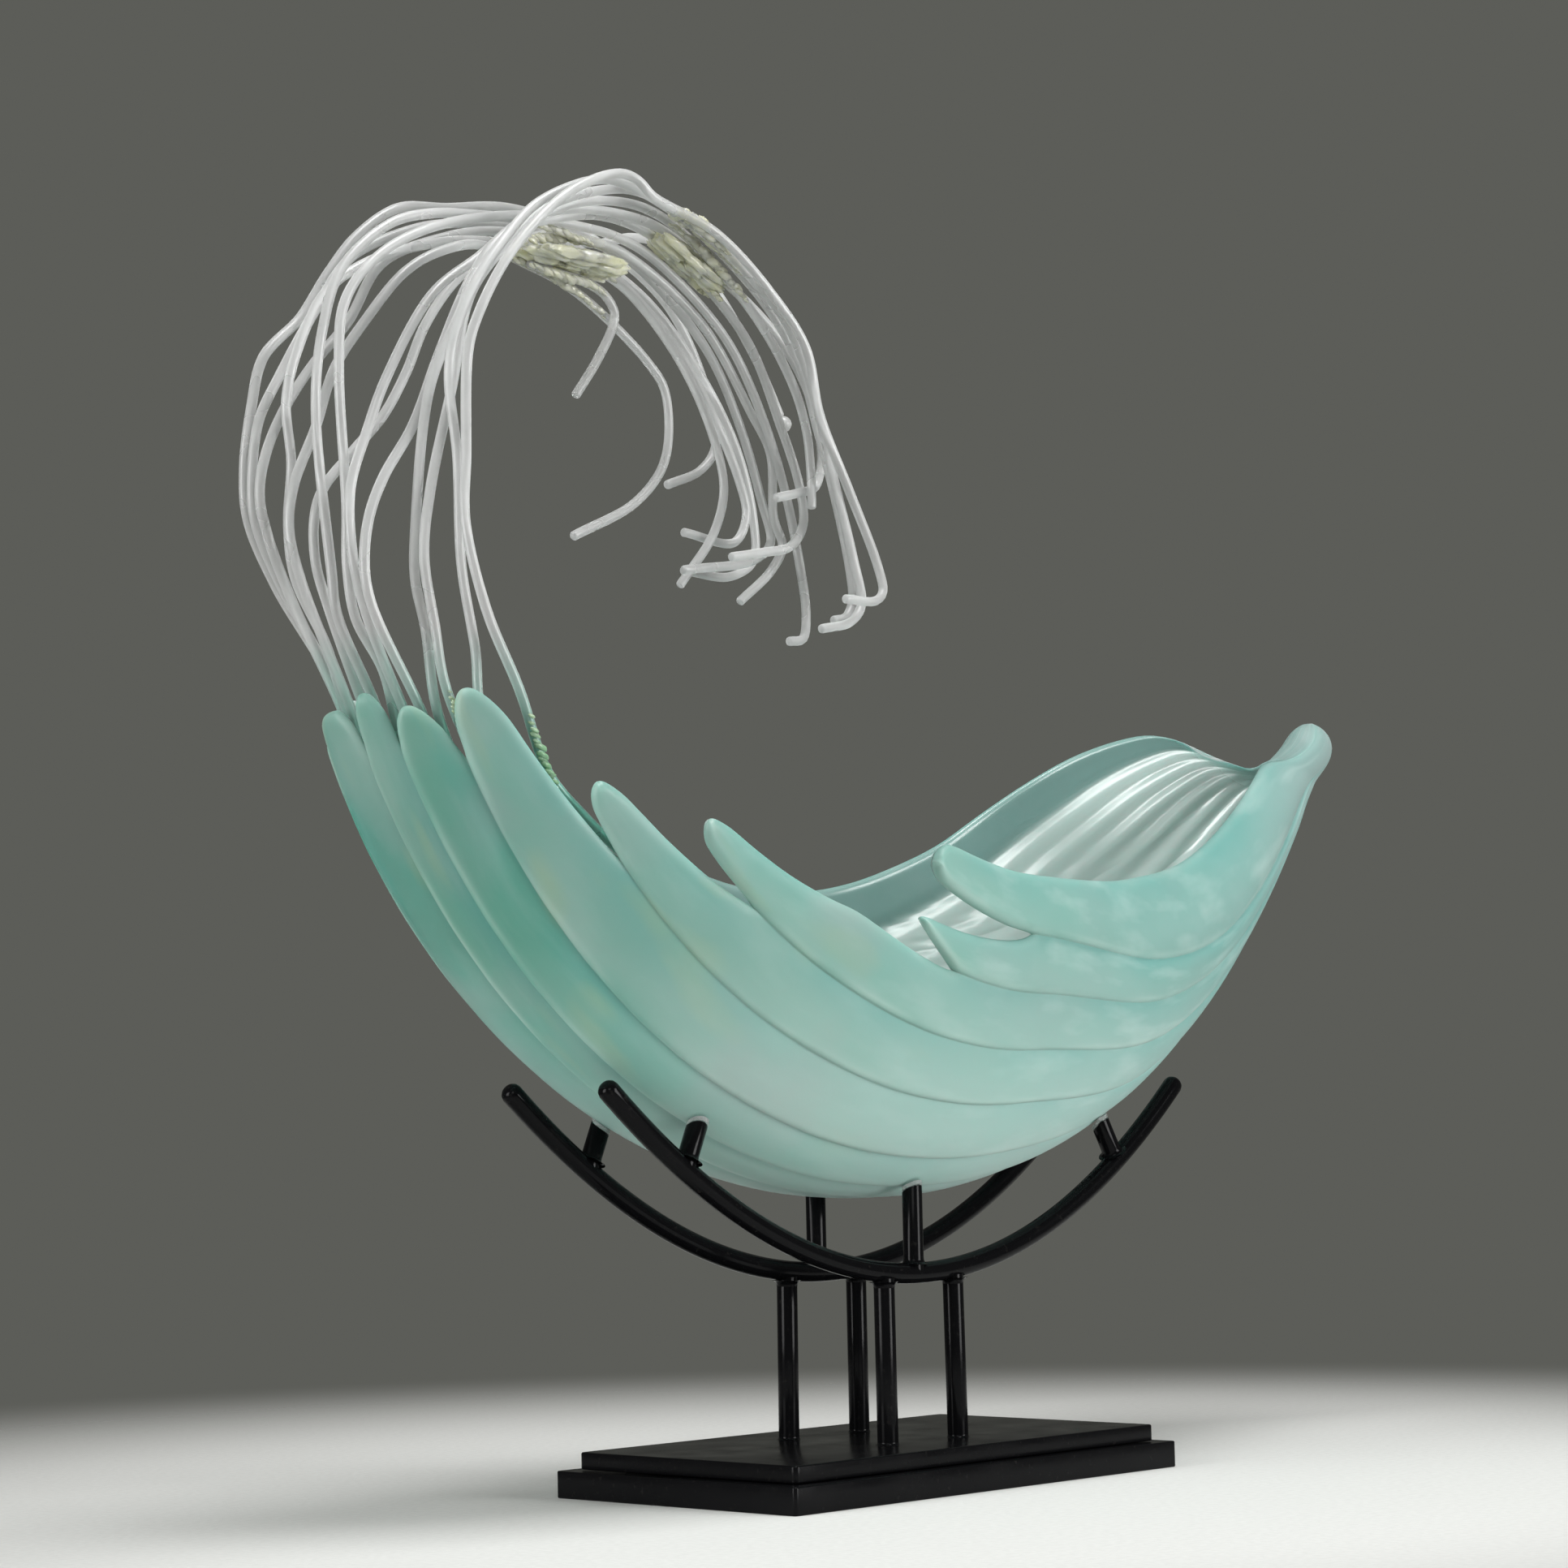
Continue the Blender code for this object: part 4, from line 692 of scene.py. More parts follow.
def column_shares(k, width):
    """Where the points across a rib stand, closer together at its two edges. The two rim ribs have more."""
    count = RIM_COLUMNS if k in (0, len(RIB_TIPS) - 1) else MIDDLE_COLUMNS
    near = [min(reach / width, most) for reach, most in EDGE_COLUMNS]
    near += [near[-1] + (0.5 - near[-1]) * i / count for i in range(1, count + 1)]
    return near + [1 - share for share in reversed(near[:-1])]


def round_over(reach, radius):
    """How full the section is at a distance from a rounded edge, from 0 at the edge to 1."""
    left = 1 - min(reach / radius, 1.0)
    return math.sqrt(1 - left * left)


def lap(k, share, width, along):
    """How far the outer face of a rib stands below the shell's skin, as a share of the groove's depth. The
    ribs lap like feathers: each one stands proud over the next one towards the keel."""
    even = (1 - math.sin(math.pi * share)) ** 2
    if k == KEEL_RIB:
        return even
    over = share if k < KEEL_RIB else 1 - share
    step = 1 - round_over((1 - over) * width, STEP_ROUND)
    lapped = max((1 - over) ** LAP_CURVE, step)
    strength = ease((along - LAP_FROM) / LAP_OVER)
    return even * (1 - strength) + lapped * strength


def valley(k, share, along, across):
    """How far the inner face dips: flutes along the trough, then a valley between each two fingers."""
    beyond = (FLUTES_BELOW - abs(across)) / FLUTE_PITCH
    flute = 1 - abs(math.sin(math.pi * beyond)) if beyond > -0.5 else 0.0
    to_valleys = ease((along - VALLEYS_FROM) / VALLEYS_OVER)
    flute *= FLUTE_DEPTH * ease((along - SOLID_PROW_TO) / FLUTES_OVER) * (1 - to_valleys)
    between = 0.0 if k in (0, len(RIB_TIPS) - 1) else 1 - math.sin(math.pi * share)
    return flute + between * INNER_RIDGE * to_valleys


def free_reach(k, along, share, width):
    """Distance in millimetres from a point of rib k to its nearest free edge."""
    tip = RIB_TIPS[k][0]
    reach = math.radians(tip - along) * TYPICAL_RADIUS
    for slit, across in ((k - 1, share * width), (k, (1 - share) * width)):
        if slit < 0 or slit >= len(SLIT_ENDS) or along >= SLIT_ENDS[slit]:
            reach = min(reach, across)
        else:
            before = math.radians(SLIT_ENDS[slit] - along) * TYPICAL_RADIUS
            reach = min(reach, math.hypot(before, across))
    return reach


def corner_shift(corner, towards_corner, other_way, reach, far_side):
    """Moves a point near a sharp corner of the section onto a rounded one (a quadratic curve)."""
    share = 0.5 * (1 - reach / PROW_EDGE_ROUND)
    u = 1 - share if far_side else share
    start, end = corner - towards_corner * PROW_EDGE_ROUND, corner - other_way * PROW_EDGE_ROUND
    if far_side:
        start, end = end, start
    curve = (1 - u) ** 2 * start + 2 * u * (1 - u) * corner + u * u * end
    return curve - (corner - towards_corner * reach)


def rib_row(k, along):
    """Points across rib k at one angle: (outer, inner, distance from a free edge, share of the rib's width,
    that width, angle across) each."""
    upper, lower = finger_edge(k, 0, along), finger_edge(k, 1, along)
    rim_angles = groove(0, along), groove(len(RIB_TIPS), along)
    near_rim, far_rim = shell_skin(along, rim_angles[0]), shell_skin(along, rim_angles[1])
    t = math.radians(along)
    inward = np.array((-math.cos(t), 0.0, math.sin(t)))
    gathered = (groove(k + 1, along) - groove(k, along)) / (GROOVE_ANGLES[k + 1] - GROOVE_ANGLES[k])
    depth = GROOVE_DEPTH * min(1.0, gathered) * ease((along - GROOVES_FROM) / GROOVES_OVER)
    back_bulge = PROW_BACK_BULGE * min(1.0, abs(float(near_rim[1])) / PROW_BACK_FROM)
    width = max(float(np.linalg.norm(shell_skin(along, upper) - shell_skin(along, lower))), LEAST_WIDTH)
    size = min(1.0, float(np.linalg.norm(far_rim - near_rim)) / 4 / PROW_EDGE_ROUND)
    row = []

    def back(share):
        """The solid prow's upper face, from the near rim to the far one."""
        bulge = PROW_BACK_RAISED + back_bulge * math.sin(math.pi * share)
        return near_rim + (far_rim - near_rim) * share + inward * bulge

    for share in column_shares(k, width):
        across = upper + (lower - upper) * share
        skin = shell_skin(along, across)
        normal = wall_normal(along, across)
        reach = free_reach(k, along, share, width)
        handmade = HANDMADE * (0.5 + 0.5 * noise.noise(Vector(skin) * HANDMADE_GRAIN))
        outer = skin - normal * (depth * lap(k, share, width, along) + handmade)
        if along <= SOLID_PROW_TO:
            inner = back((across - rim_angles[0]) / (rim_angles[1] - rim_angles[0]))
            for rim, rim_angle, side in ((near_rim, rim_angles[0], 1), (far_rim, rim_angles[1], -1)):
                up_skin = rim - shell_skin(along, rim_angle + PROW_SKIN_STEP * side)
                up_skin = up_skin / np.linalg.norm(up_skin)
                edge_share = 0.0 if side == 1 else 1.0
                up_back = back(edge_share) - back(edge_share + PROW_BACK_STEP * side)
                up_back = up_back / np.linalg.norm(up_back)
                out_reach = float(np.linalg.norm(skin - rim))
                in_reach = float(np.linalg.norm(inner - rim))
                if out_reach < PROW_EDGE_ROUND * size:
                    outer = outer + corner_shift(rim, up_skin, up_back, out_reach / size, False) * size
                if in_reach < PROW_EDGE_ROUND * size:
                    inner = inner + corner_shift(rim, up_back, up_skin, in_reach / size, True) * size
        else:
            inner = skin - normal * (SHELL_THICKNESS - valley(k, share, along, across))
            full = round_over(reach, EDGE_ROUND)
            middle, half = (outer + inner) / 2, (outer - inner) / 2
            outer, inner = middle + half * full, middle - half * full
        row.append((outer, inner, reach, share, width, across))
    return row


def rib_paint(k, along, inside, reach, share, width, across):
    """What the shell's material reads at a point of rib k: where it is, and how near to an edge or a lap."""
    over = share if k < KEEL_RIB else 1 - share
    beside_lap = (1 - over) * width
    return {
        # edge and line carry painted highlights, low the painted shade beside a lap, and band the painted
        # shade under each rim
        "edge": math.exp(-(reach / EDGE_HIGHLIGHT) ** 2),
        "line": 0.0 if k == KEEL_RIB else math.exp(-((beside_lap - HIGHLIGHT_FROM_LAP) / HIGHLIGHT_WIDTH) ** 2),
        "low": KEEL_LAP_SHADE if k == KEEL_RIB else (1 - over) ** LAP_SHADE_CURVE,
        "inner": ease((along - SOLID_PROW_TO) / INNER_FADE) if inside else 0.0,
        "band": ease((abs(across) - FLUTES_BELOW + BAND_FADE / 2) / BAND_FADE),
        "rib": k / (len(RIB_TIPS) - 1),
        "along": along / 10.0,
        "across": k + share,
    }


def glass_shell(made_of):
    """The fused casting: ribs share their groove lines up to the slits, and past them each is a finger."""
    points, faces = [], []
    paint = {}
    index = {}
    last_rib = len(RIB_TIPS) - 1

    def on_free_edge(k, along, column, last):
        """Whether a point lies on a rim or in a slit, where the outer and the inner face meet."""
        if column == 0:
            return k == 0 or along >= SLIT_ENDS[k - 1]
        return column == last and (k == last_rib or along >= SLIT_ENDS[k])

    def vertex(k, along, column, outer, at_tip, row):
        """A point's number. It is made when first asked for, and two ribs share those of their groove."""
        last = len(row) - 1
        free = at_tip or on_free_edge(k, along, column, last)
        key = (k, along, -1 if column == last else column, outer or free)
        if column == 0 and k > 0 and along <= SLIT_ENDS[k - 1]:
            key = (k - 1, along, -1, outer or free)
        if key not in index:
            index[key] = len(points)
            at_outer, at_inner, *measures = row[column]
            points.append((at_outer + at_inner) / 2 if free else (at_outer if outer else at_inner))
            for name, value in rib_paint(k, along, not (outer or free), *measures).items():
                paint.setdefault(name, []).append(value)
        return index[key]

    for k in range(last_rib + 1):
        stations = rib_stations(k)
        end = len(stations) - 1
        rows = [rib_row(k, along) for along in stations]
        last = len(rows[0]) - 1
        grid = {}
        for i, row in enumerate(rows):
            for c in range(last + 1):
                for outer in (True, False):
                    grid[i, c, outer] = vertex(k, stations[i], c, outer, i == end, row)
        for i in range(end):
            for c in range(last):
                corners = ((i, c), (i + 1, c), (i + 1, c + 1), (i, c + 1))
                faces.append(tuple(grid[a, b, True] for a, b in corners))
                faces.append(tuple(grid[a, b, False] for a, b in (corners[0], *corners[:0:-1])))
        for c in range(last):
            faces.append((grid[0, c, True], grid[0, c + 1, True], grid[0, c + 1, False], grid[0, c, False]))
    # Corners that fall together at a free edge or a tip count once
    faces = [kept for kept in (tuple(dict.fromkeys(face)) for face in faces) if len(kept) > 2]
    shell = dress("shell_of_fused_ribs", points, faces, made_of, "glass", ("glass_shell",), 180.0, paint)
    rounding = shell.modifiers.new("rounding", "SUBSURF")
    rounding.levels = 1
    rounding.render_levels = 1


def smooth_route(points, step):
    """A smooth curve through the points (a centripetal spline), with a point about every step."""
    points = [np.array(p, float) for p in points]
    ends = [2 * points[0] - points[1]] + points + [2 * points[-1] - points[-2]]
    route = []
    for p0, p1, p2, p3 in zip(ends, ends[1:], ends[2:], ends[3:]):
        k0 = 0.0
        k1 = k0 + max(np.linalg.norm(p1 - p0), 1e-6) ** 0.5
        k2 = k1 + max(np.linalg.norm(p2 - p1), 1e-6) ** 0.5
        k3 = k2 + max(np.linalg.norm(p3 - p2), 1e-6) ** 0.5
        count = max(1, round(float(np.linalg.norm(p2 - p1)) / step))
        for i in range(count):
            k = k1 + (k2 - k1) * i / count
            a1 = (k1 - k) / (k1 - k0) * p0 + (k - k0) / (k1 - k0) * p1
            a2 = (k2 - k) / (k2 - k1) * p1 + (k - k1) / (k2 - k1) * p2
            a3 = (k3 - k) / (k3 - k2) * p2 + (k - k2) / (k3 - k2) * p3
            b1 = (k2 - k) / (k2 - k0) * a1 + (k - k0) / (k2 - k0) * a2
            b2 = (k3 - k) / (k3 - k1) * a2 + (k - k1) / (k3 - k1) * a3
            route.append((k2 - k) / (k2 - k1) * b1 + (k - k1) / (k2 - k1) * b2)
    route.append(points[-1])
    return route


def round_bar(name, route, radii, sides, made_of, body, nodes, end_round=1.0):
    """A bar of round section along a route. radii is one size or one for each point, and end_round is how far
    the ends are rounded: 1 is half a ball."""
    route = [np.array(p, float) for p in route]
    radii = [radii] * len(route) if isinstance(radii, float) else radii
    tangents = []
    for i in range(len(route)):
        along = route[min(i + 1, len(route) - 1)] - route[max(i - 1, 0)]
        tangents.append(along / np.linalg.norm(along))
    rings = list(zip(route, tangents, radii))
    for turn in BAR_END_TURNS:
        out = math.sin(math.radians(turn)) * end_round
        size = 1 - end_round + math.cos(math.radians(turn)) * end_round
        rings.insert(0, (route[0] - tangents[0] * radii[0] * out, tangents[0], radii[0] * size))
        rings.append((route[-1] + tangents[-1] * radii[-1] * out, tangents[-1], radii[-1] * size))
    side = np.cross(tangents[0], (0.0, 1.0, 0.0))
    if np.linalg.norm(side) < 0.1:
        side = np.cross(tangents[0], (1.0, 0.0, 0.0))
    points = []
    for centre, along, size in rings:
        side = side - along * float(side @ along)
        side = side / np.linalg.norm(side)
        points += [centre + size * spoke for spoke in circle(sides, side, np.cross(along, side))]
    dress(name, points, tube_faces(len(rings), sides), made_of, body, nodes)


def rod_route(lane, foot, bends):
    """Points along a glass rod's axis: up the shell's inner face, then over the curl in its own lane."""
    own = lane * ROD_LANE_PITCH
    seat = SHELL_THICKNESS + GLASS_ROD_DIAMETER / 2 + ROD_SEAT
    seated = [shell_skin(along, across) - shell_normal(along, across) * seat for along, across in foot]
    route = list(seated)
    for x, height in bends:
        if seated and x < LANES_LEFT_OF:
            low = ease((LANES_FROM - height) / LANES_OVER)
            y = own * (1 - low) + seated[-1][1] * low
        else:
            y = own * (1 + FAN_SHARE * ease((FAN_FROM - height) / FAN_OVER))
        route.append(np.array((x, y, SHELL_CENTRE_Z + height)))
    return route


def glass_rods(glass):
    """The plume of rods. Each rod's thickness wanders a little, as drawn glass does. Returns their routes."""
    routes = []
    for number, (lane, foot, bends) in enumerate(GLASS_RODS, 1):
        route = smooth_route(rod_route(lane, foot, bends), ROD_RING_STEP)
        radii = []
        for p in route:
            place = Vector((p[0] * ROD_WANDER_GRAIN, p[2] * ROD_WANDER_GRAIN, number * ROD_WANDER_SHIFT))
            radii.append(GLASS_ROD_DIAMETER / 2 * (ROD_SHARE + ROD_WANDER * noise.noise(place)))
        round_bar(f"rod_{number:02d}", route, radii, ROD_SIDES, glass, "glass", (f"glass_rod_{number:02d}",),
                  ROD_END_ROUND)
        routes.append(route)
    return routes


def vary_at(place):
    """Three uneven values at a place, each between -1 and 1, and the same in every run."""
    return [noise.noise(Vector(place) + Vector((shift, 0.0, 0.0))) for shift in VARY_SHIFTS]


def lump(centre, half_sizes, slope, wobble, grain, rings=14, sides=18):
    """Points and faces of a rounded lump, long way along +X, tilted down by slope degrees and uneven."""
    points, faces = [], []
    tilt = math.radians(slope)
    ways = [Vector((1.0, 0.0, 0.0))]
    for i in range(1, rings):
        polar = math.pi * i / rings
        for k in range(sides):
            turn = 2 * math.pi * k / sides
            across = math.sin(polar)
            ways.append(Vector((math.cos(polar), across * math.cos(turn), across * math.sin(turn))))
    ways.append(Vector((-1.0, 0.0, 0.0)))
    for way in ways:
        size = 1 + wobble * noise.fractal(way * grain + Vector(centre) * 0.1, 0.6, 2.2, 4)
        x, y, z = (c * h * size for c, h in zip(way, half_sizes))
        points.append((centre[0] + x * math.cos(tilt) + z * math.sin(tilt), centre[1] + y,
                       centre[2] - x * math.sin(tilt) + z * math.cos(tilt)))
    last = len(points) - 1
    for k in range(sides):
        a, b = 1 + k, 1 + (k + 1) % sides
        faces.append((0, a, b))
        for _ in range(rings - 2):
            faces.append((a, a + sides, b + sides, b))
            a, b = a + sides, b + sides
        faces.append((a, last, b))
    return points, faces


def cluster(name, parts, made_of, nodes=()):
    """Several lumps on the glass as one piece. parts: (points, faces) of each."""
    points, faces = [], []
    for part_points, part_faces in parts:
        first = len(points)
        points += part_points
        faces += [tuple(first + corner for corner in face) for face in part_faces]
    dress(name, points, faces, made_of, "glass", nodes)


def glue_lump(name, centre, half_sizes, slope, made_of, nodes):
    """A lump of adhesive: runs and drops side by side between the rods, within one rounded outline. Each
    drop's place and size vary by shares of the lump's own sizes."""
    parts = []
    tilt = math.radians(slope)
    long_half, wide_half, high_half = half_sizes
    lanes = max(3, round(2 * wide_half / GLUE_LANE))
    for i in range(lanes):
        v = ((i + 0.5) / lanes * 2 - 1) * GLUE_SPREAD
        chord = math.sqrt(1 - v * v)
        for j in range(GLUE_DROPS):
            vary = vary_at((i * 3.1 + centre[0], j * 2.3, centre[1]))
            u = ((j + 0.5) / GLUE_DROPS * 2 - 1) * GLUE_SPREAD + 0.25 * vary[0]
            reach = u * long_half * chord
            place = (centre[0] + reach * math.cos(tilt), centre[1] + v * wide_half + 0.8 * vary[1],
                     centre[2] - reach * math.sin(tilt) + high_half * (0.3 * vary[2] - 0.1))
            sizes = (long_half * (0.36 + 0.16 * vary[1]), GLUE_LANE * (0.56 + 0.2 * vary[2]),
                     high_half * chord * (0.62 + 0.3 * vary[0]))
            parts.append(lump(place, sizes, slope, 0.3, 1.6))
    cluster(name, parts, made_of, nodes)


def glue_strip(name, route, span, heights, thickness, made_of):
    """A run of adhesive along a rod, lumpy and thin at its ends: a chain of drops that overlap."""
    low, high = (SHELL_CENTRE_Z + height for height in heights)
    run = [p for p in route if span[0] <= p[0] <= span[1] and low <= p[2] <= high]
    parts = []
    for i, p in enumerate(run):
        share = i / max(len(run) - 1, 1)
        vary = vary_at(Vector(p) * 0.37)
        size = thickness * (0.45 + 0.55 * math.sin(math.pi * share)) * (1 + 0.5 * vary[0])
        place = p + np.array(GLUE_RUN_SIDE) + np.array(vary) * GLUE_RUN_SCATTER
        parts.append(lump(place, (size * GLUE_DROP_LONG, size, size), GLUE_RUN_SLOPE, 0.25, 1.2, 8, 10))
    cluster(name, parts, made_of)


def cradle_height(x):
    """Centre line height of a bent steel rod."""
    return CRADLE_LOW_POINT_Z + CRADLE_RISE * (x / CRADLE_HALF_SPAN) ** 2


def weld(name, foot, axis, radius, reach, made_of):
    """A smooth fillet round a bar's foot: wide on what carries the bar, and fading up the bar."""
    axis = np.array(axis, float) / np.linalg.norm(axis)
    side = np.cross(axis, (0.0, 1.0, 0.0))
    side = side / np.linalg.norm(side)
    spokes = circle(WELD_SIDES, side, np.cross(axis, side))
    points = []
    for i in range(WELD_STEPS + 1):
        turn = math.pi / 2 * i / WELD_STEPS
        out = radius + reach * (1 - math.sin(turn)) + WELD_SKIN
        up = reach * WELD_TALL * (1 - math.cos(turn))
        for k, spoke in enumerate(spokes):
            angle = 2 * math.pi * k / WELD_SIDES
            place = Vector((math.cos(angle) * 2, math.sin(angle) * 2, foot[0] + i * 0.2))
            share = 1 + WELD_UNEVEN * noise.noise(place)
            points.append(foot + axis * up * share + (radius + (out - radius) * share) * spoke)
    dress(name, points, tube_faces(WELD_STEPS + 1, WELD_SIDES, False), made_of, "stand", (), 180.0)


def plate(name, size, bottom_z, rounds, made_of, node):
    """A plate as layers of one outline. rounds: of its upright corners, and of its edges."""
    length, width, height = size
    corner_round, edge_round = rounds
    outline = []
    for cx, cy, start in ((1, 1, 0), (-1, 1, 90), (-1, -1, 180), (1, -1, 270)):
        for step in range(PLATE_CORNER_STEPS + 1):
            turn = math.radians(start + 90 / PLATE_CORNER_STEPS * step)
            outline.append((cx * (length / 2 - corner_round), cy * (width / 2 - corner_round),
                            math.cos(turn), math.sin(turn)))
    layers = []
    for step in range(PLATE_EDGE_STEPS + 1):
        turn = math.radians(90 * step / PLATE_EDGE_STEPS)
        layers.append((edge_round * (1 - math.sin(turn)), edge_round * (1 - math.cos(turn))))
    rows = layers + [(inset, height - drop) for inset, drop in reversed(layers)]
    points = []
    for inset, up in rows:
        for x, y, c, s in outline:
            reach = corner_round - inset
            points.append((x + c * reach, y + s * reach, bottom_z + up))
    dress(name, points, tube_faces(len(rows), len(outline)), made_of, "stand", (node,), 40.0)


def stand(steel, deck_steel, pad_material):
    """The welded steel: two plates, four posts, two bent rods and six stubs, and the pads on the stubs."""
    plate("lower_plate", LOWER_PLATE, 0.0, LOWER_PLATE_ROUNDS, deck_steel, "base_lower_plate")
    upper_foot = LOWER_PLATE[2] + PLATE_GAP
    plate("upper_plate", UPPER_PLATE, upper_foot, UPPER_PLATE_ROUNDS, deck_steel, "base_upper_plate")
    deck = upper_foot + UPPER_PLATE[2]
    radius = STEEL_ROD_DIAMETER / 2
    for side, y_sign in (("front", -1), ("back", 1)):
        y = y_sign * CRADLE_SPACING_Y / 2
        arc_y = y * POST_SPLAY
        for end, x_sign in (("left", -1), ("right", 1)):
            foot = np.array((x_sign * POST_SPACING_X / 2, y, deck))
            top_x = foot[0] * POST_SPLAY
            top = np.array((top_x, arc_y, cradle_height(top_x) - radius * POST_TOP_SINK))
            axis = top - foot
            place = f"{side}_{end}"
            round_bar(f"steel_post_{place}", (foot, top), radius, BAR_SIDES, steel, "stand",
                      (f"post_{place}",), POST_END_ROUND)
            weld(f"post_foot_weld_{place}", foot, axis, radius, FOOT_WELD_REACH, steel)
            under = np.array((top_x, arc_y, cradle_height(top_x) - radius * TOP_WELD_AT))
            weld(f"post_top_weld_{place}", under, -axis, radius, WELD_REACH, steel)
        centre_line = [(x, arc_y, cradle_height(x)) for x in
                       (CRADLE_HALF_SPAN * (2 * i / CRADLE_STEPS - 1) for i in range(CRADLE_STEPS + 1))]
        round_bar(f"bent_rod_{side}", centre_line, radius, BAR_SIDES, steel, "stand", (f"cradle_rod_{side}",),
                  CRADLE_END_ROUND)
        for place, share, lean in zip(("left", "middle", "right"), STUB_FEET, STUB_LEAN):
            x = share * CRADLE_HALF_SPAN
            foot = np.array((x, arc_y, cradle_height(x)))
            lean = math.radians(lean)
            way = np.array((math.sin(lean), 0.0, math.cos(lean)))
            stub(f"{side}_{place}", foot, way, steel)
            pad_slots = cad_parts[f"pad_{side}_{place}"].data.materials
            pad_slots.clear()
            pad_slots.append(pad_material)


def stub(place, foot, way, steel):
    """A stub from the bent rod up to its pad, with the pad's slope at its top, and a weld at its foot."""
    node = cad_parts[f"stub_{place}"]
    skin = BVHTree.FromPolygons([v.co.copy() for v in node.data.vertices],
                                [tuple(f.vertices) for f in node.data.polygons])
    spokes = circle(BAR_SIDES, np.cross((0.0, 1.0, 0.0), way), np.array((0.0, 1.0, 0.0)))
    radius = STUB_DIAMETER / 2
    tops = []
    for share in STUB_TOP_READ_AT:
        heights = []
        for spoke in spokes:
            start = Vector((foot + radius * share * 0.96 * spoke + way * STUB_READ_FROM) * MM)
            hit = skin.ray_cast(start, Vector(-way))
            heights.append(STUB_READ_FROM - hit[3] / MM if hit[0] is not None else None)
        known = [h for h in heights if h is not None]
        tops.append([h if h is not None else sum(known) / len(known) for h in heights])
    rows = [(radius, [STUB_FOOT_UP] * BAR_SIDES)]
    rows += [(radius - inset, [h - drop for h in tops[0]]) for inset, drop in STUB_TOP_ROUND]
    rows.append((radius - STUB_TOP_INSET, tops[1]))
    points = [foot + size * spoke + way * h for size, heights in rows for spoke, h in zip(spokes, heights)]
    faces = tube_faces(len(rows), BAR_SIDES)
    dress(f"steel_stub_{place}", points, faces, steel, "stand", (f"stub_{place}",), 50.0)
    weld_foot = foot + way * STEEL_ROD_DIAMETER * STUB_WELD_AT
    weld(f"stub_weld_{place}", weld_foot, way, radius, WELD_REACH, steel)


def area_light(name, at, size, power):
    """A soft lamp that faces the object."""
    data = bpy.data.lights.new(name, "AREA")
    data.shape = "RECTANGLE"
    data.size, data.size_y = size
    data.energy = power
    obj = bpy.data.objects.new(name, data)
    obj.location = at
    obj.rotation_mode = "QUATERNION"
    obj.rotation_quaternion = (Vector(LAMPS_FACE) - Vector(at)).to_track_quat("-Z", "Y")
    bpy.context.scene.collection.objects.link(obj)


def studio():
    """A pale floor that fades into a plain grey backdrop, and soft lamps."""
    world = bpy.data.worlds.new("plain_backdrop")
    bpy.context.scene.world = world
    world.use_nodes = True
    set_inputs(world.node_tree, world.node_tree.nodes["Background"], Color=BACKDROP, Strength=1.0)

    ring = circle(FLOOR_SIDES, np.array((FLOOR_RADIUS, 0.0, 0.0)), np.array((0.0, FLOOR_RADIUS, 0.0)))
    mesh = bpy.data.meshes.new("floor")
    mesh.from_pydata([(x, y, 0.0) for x, y, _ in ring], [], [tuple(range(FLOOR_SIDES))])
    floor = bpy.data.objects.new("floor", mesh)
    bpy.context.scene.collection.objects.link(floor)
    made, tree, shader = new_material("pale_floor")
    grain = ramp(tree, noise_field(tree, 300.0), ((0.3, (0.74, 0.74, 0.72)), (0.7, (0.80, 0.80, 0.78))))
    set_inputs(tree, shader, Base_Color=grain, Roughness=0.85)
    place = tree.nodes.new("ShaderNodeTexCoord").outputs["Object"]
    length = add_node(tree, "ShaderNodeVectorMath", Vector=place)
    length.operation = "LENGTH"
    fade = add_node(tree, "ShaderNodeMapRange", Value=length.outputs["Value"], From_Min=FLOOR_FADES[0],
                    From_Max=FLOOR_FADES[1])
    fade.interpolation_type = "SMOOTHSTEP"
    mix = tree.nodes.new("ShaderNodeMixShader")
    clear = tree.nodes.new("ShaderNodeBsdfTransparent")
    for number, source in enumerate((fade.outputs["Result"], shader.outputs[0], clear.outputs[0])):
        feed(tree, mix.inputs[number], source)
    set_inputs(tree, tree.nodes["Material Output"], Surface=mix.outputs[0])
    mesh.materials.append(made)

    for name, at, size, power in LAMPS:
        area_light(name, at, size, power)


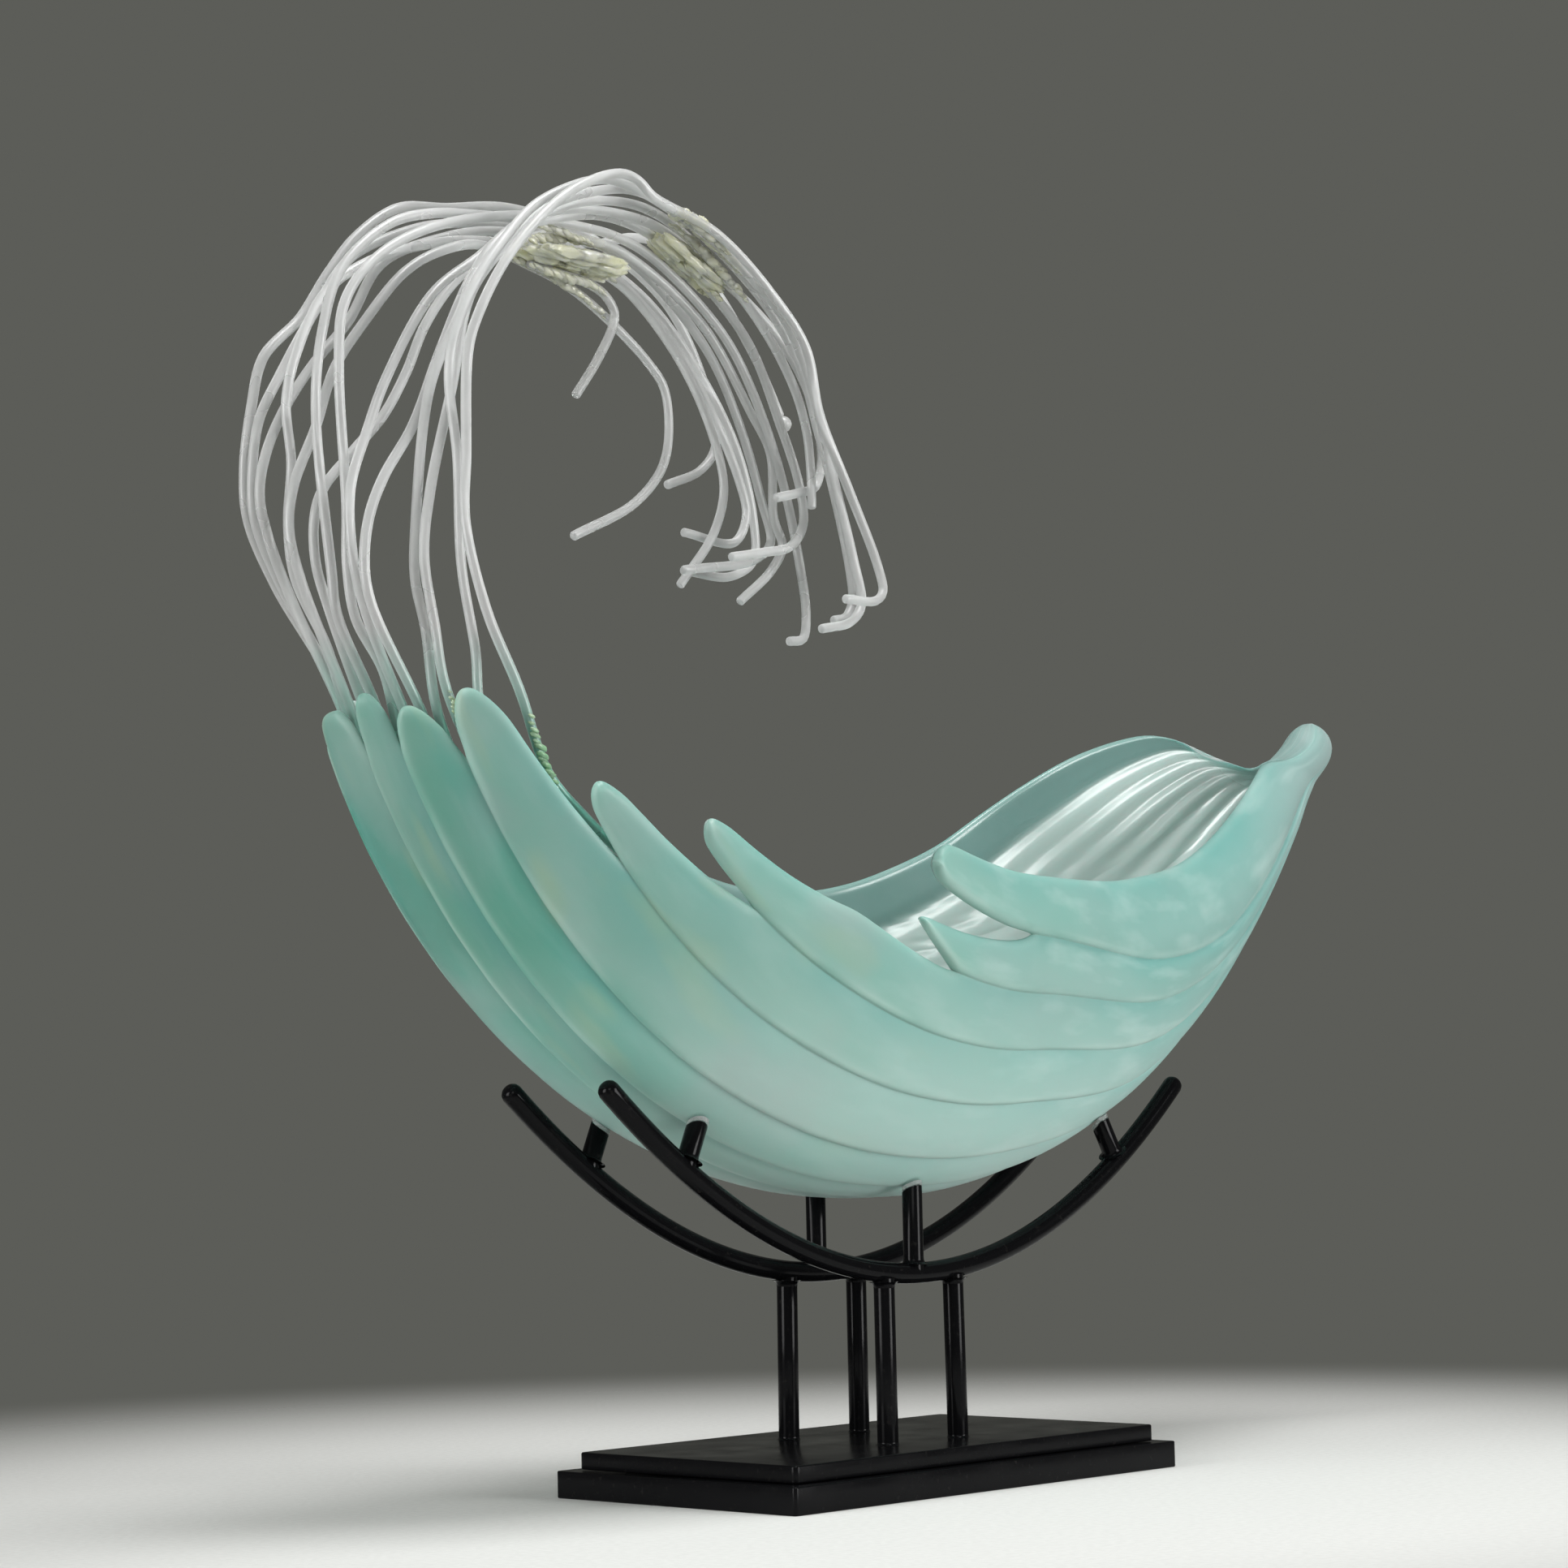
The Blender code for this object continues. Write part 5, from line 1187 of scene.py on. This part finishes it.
def camera():
    """The camera that took the photograph."""
    az, el, roll = (math.radians(a) for a in (CAMERA_AZIMUTH, CAMERA_ELEVATION, CAMERA_ROLL))
    back = Vector((math.sin(az) * math.cos(el), -math.cos(az) * math.cos(el), math.sin(el)))
    level = (-back).cross(Vector((0.0, 0.0, 1.0))).normalized()
    up = level.cross(-back)
    right = math.cos(roll) * level + math.sin(roll) * up
    top = -math.sin(roll) * level + math.cos(roll) * up
    data = bpy.data.cameras.new("camera")
    data.sensor_width = CAMERA_SENSOR
    data.lens = CAMERA_LENS
    obj = bpy.data.objects.new("camera", data)
    turn = Matrix((right, top, back)).transposed().to_4x4()
    obj.matrix_world = Matrix.Translation(CAMERA_AT) @ turn
    bpy.context.scene.collection.objects.link(obj)
    bpy.context.scene.camera = obj


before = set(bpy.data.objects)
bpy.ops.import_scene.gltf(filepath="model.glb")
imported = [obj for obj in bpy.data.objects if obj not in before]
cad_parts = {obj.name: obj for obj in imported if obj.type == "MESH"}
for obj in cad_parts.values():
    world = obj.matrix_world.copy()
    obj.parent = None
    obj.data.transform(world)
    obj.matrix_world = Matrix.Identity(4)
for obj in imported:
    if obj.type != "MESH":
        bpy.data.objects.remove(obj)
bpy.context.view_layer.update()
bpy.context.scene.view_settings.view_transform = "Standard"
camera()
studio()

green = sea_glass()
clear_glass = rod_glass()
steel_paint = black_gloss("black_gloss_paint", 0.10, 0.20)
plate_paint = black_gloss("black_plate_paint", 0.14, 0.28)
glue = adhesive()
stand(steel_paint, plate_paint, clear_rubber())
glass_shell(green)
rod_routes = glass_rods(clear_glass)
for number, (centre, half_sizes, slope) in enumerate(GLUE_LUMPS, 1):
    placed = (centre[0], centre[1], SHELL_CENTRE_Z + centre[2])
    glue_lump(f"adhesive_{number}", placed, half_sizes, slope, glue, (f"glue_lump_{number}",))
for number, (rod, span, heights, thickness) in enumerate(GLUE_STRIPS, 1):
    glue_strip(f"adhesive_run_{number:02d}", rod_routes[rod - 1], span, heights, thickness, glue)
before_end, rod_end = rod_routes[-1][-2:]
onward = (rod_end - before_end) / np.linalg.norm(rod_end - before_end)
bead_at = rod_end + onward * (GLASS_ROD_DIAMETER / 2 + END_BEAD_DIAMETER * END_BEAD_SINK)
bead = lump(tuple(bead_at), (END_BEAD_DIAMETER / 2 * END_BEAD_SHARE,) * 3, 0.0, 0.04, 1.2, 20, 24)
cluster("melted_end_bead", (bead,), clear_glass, ("rod_end_bead",))
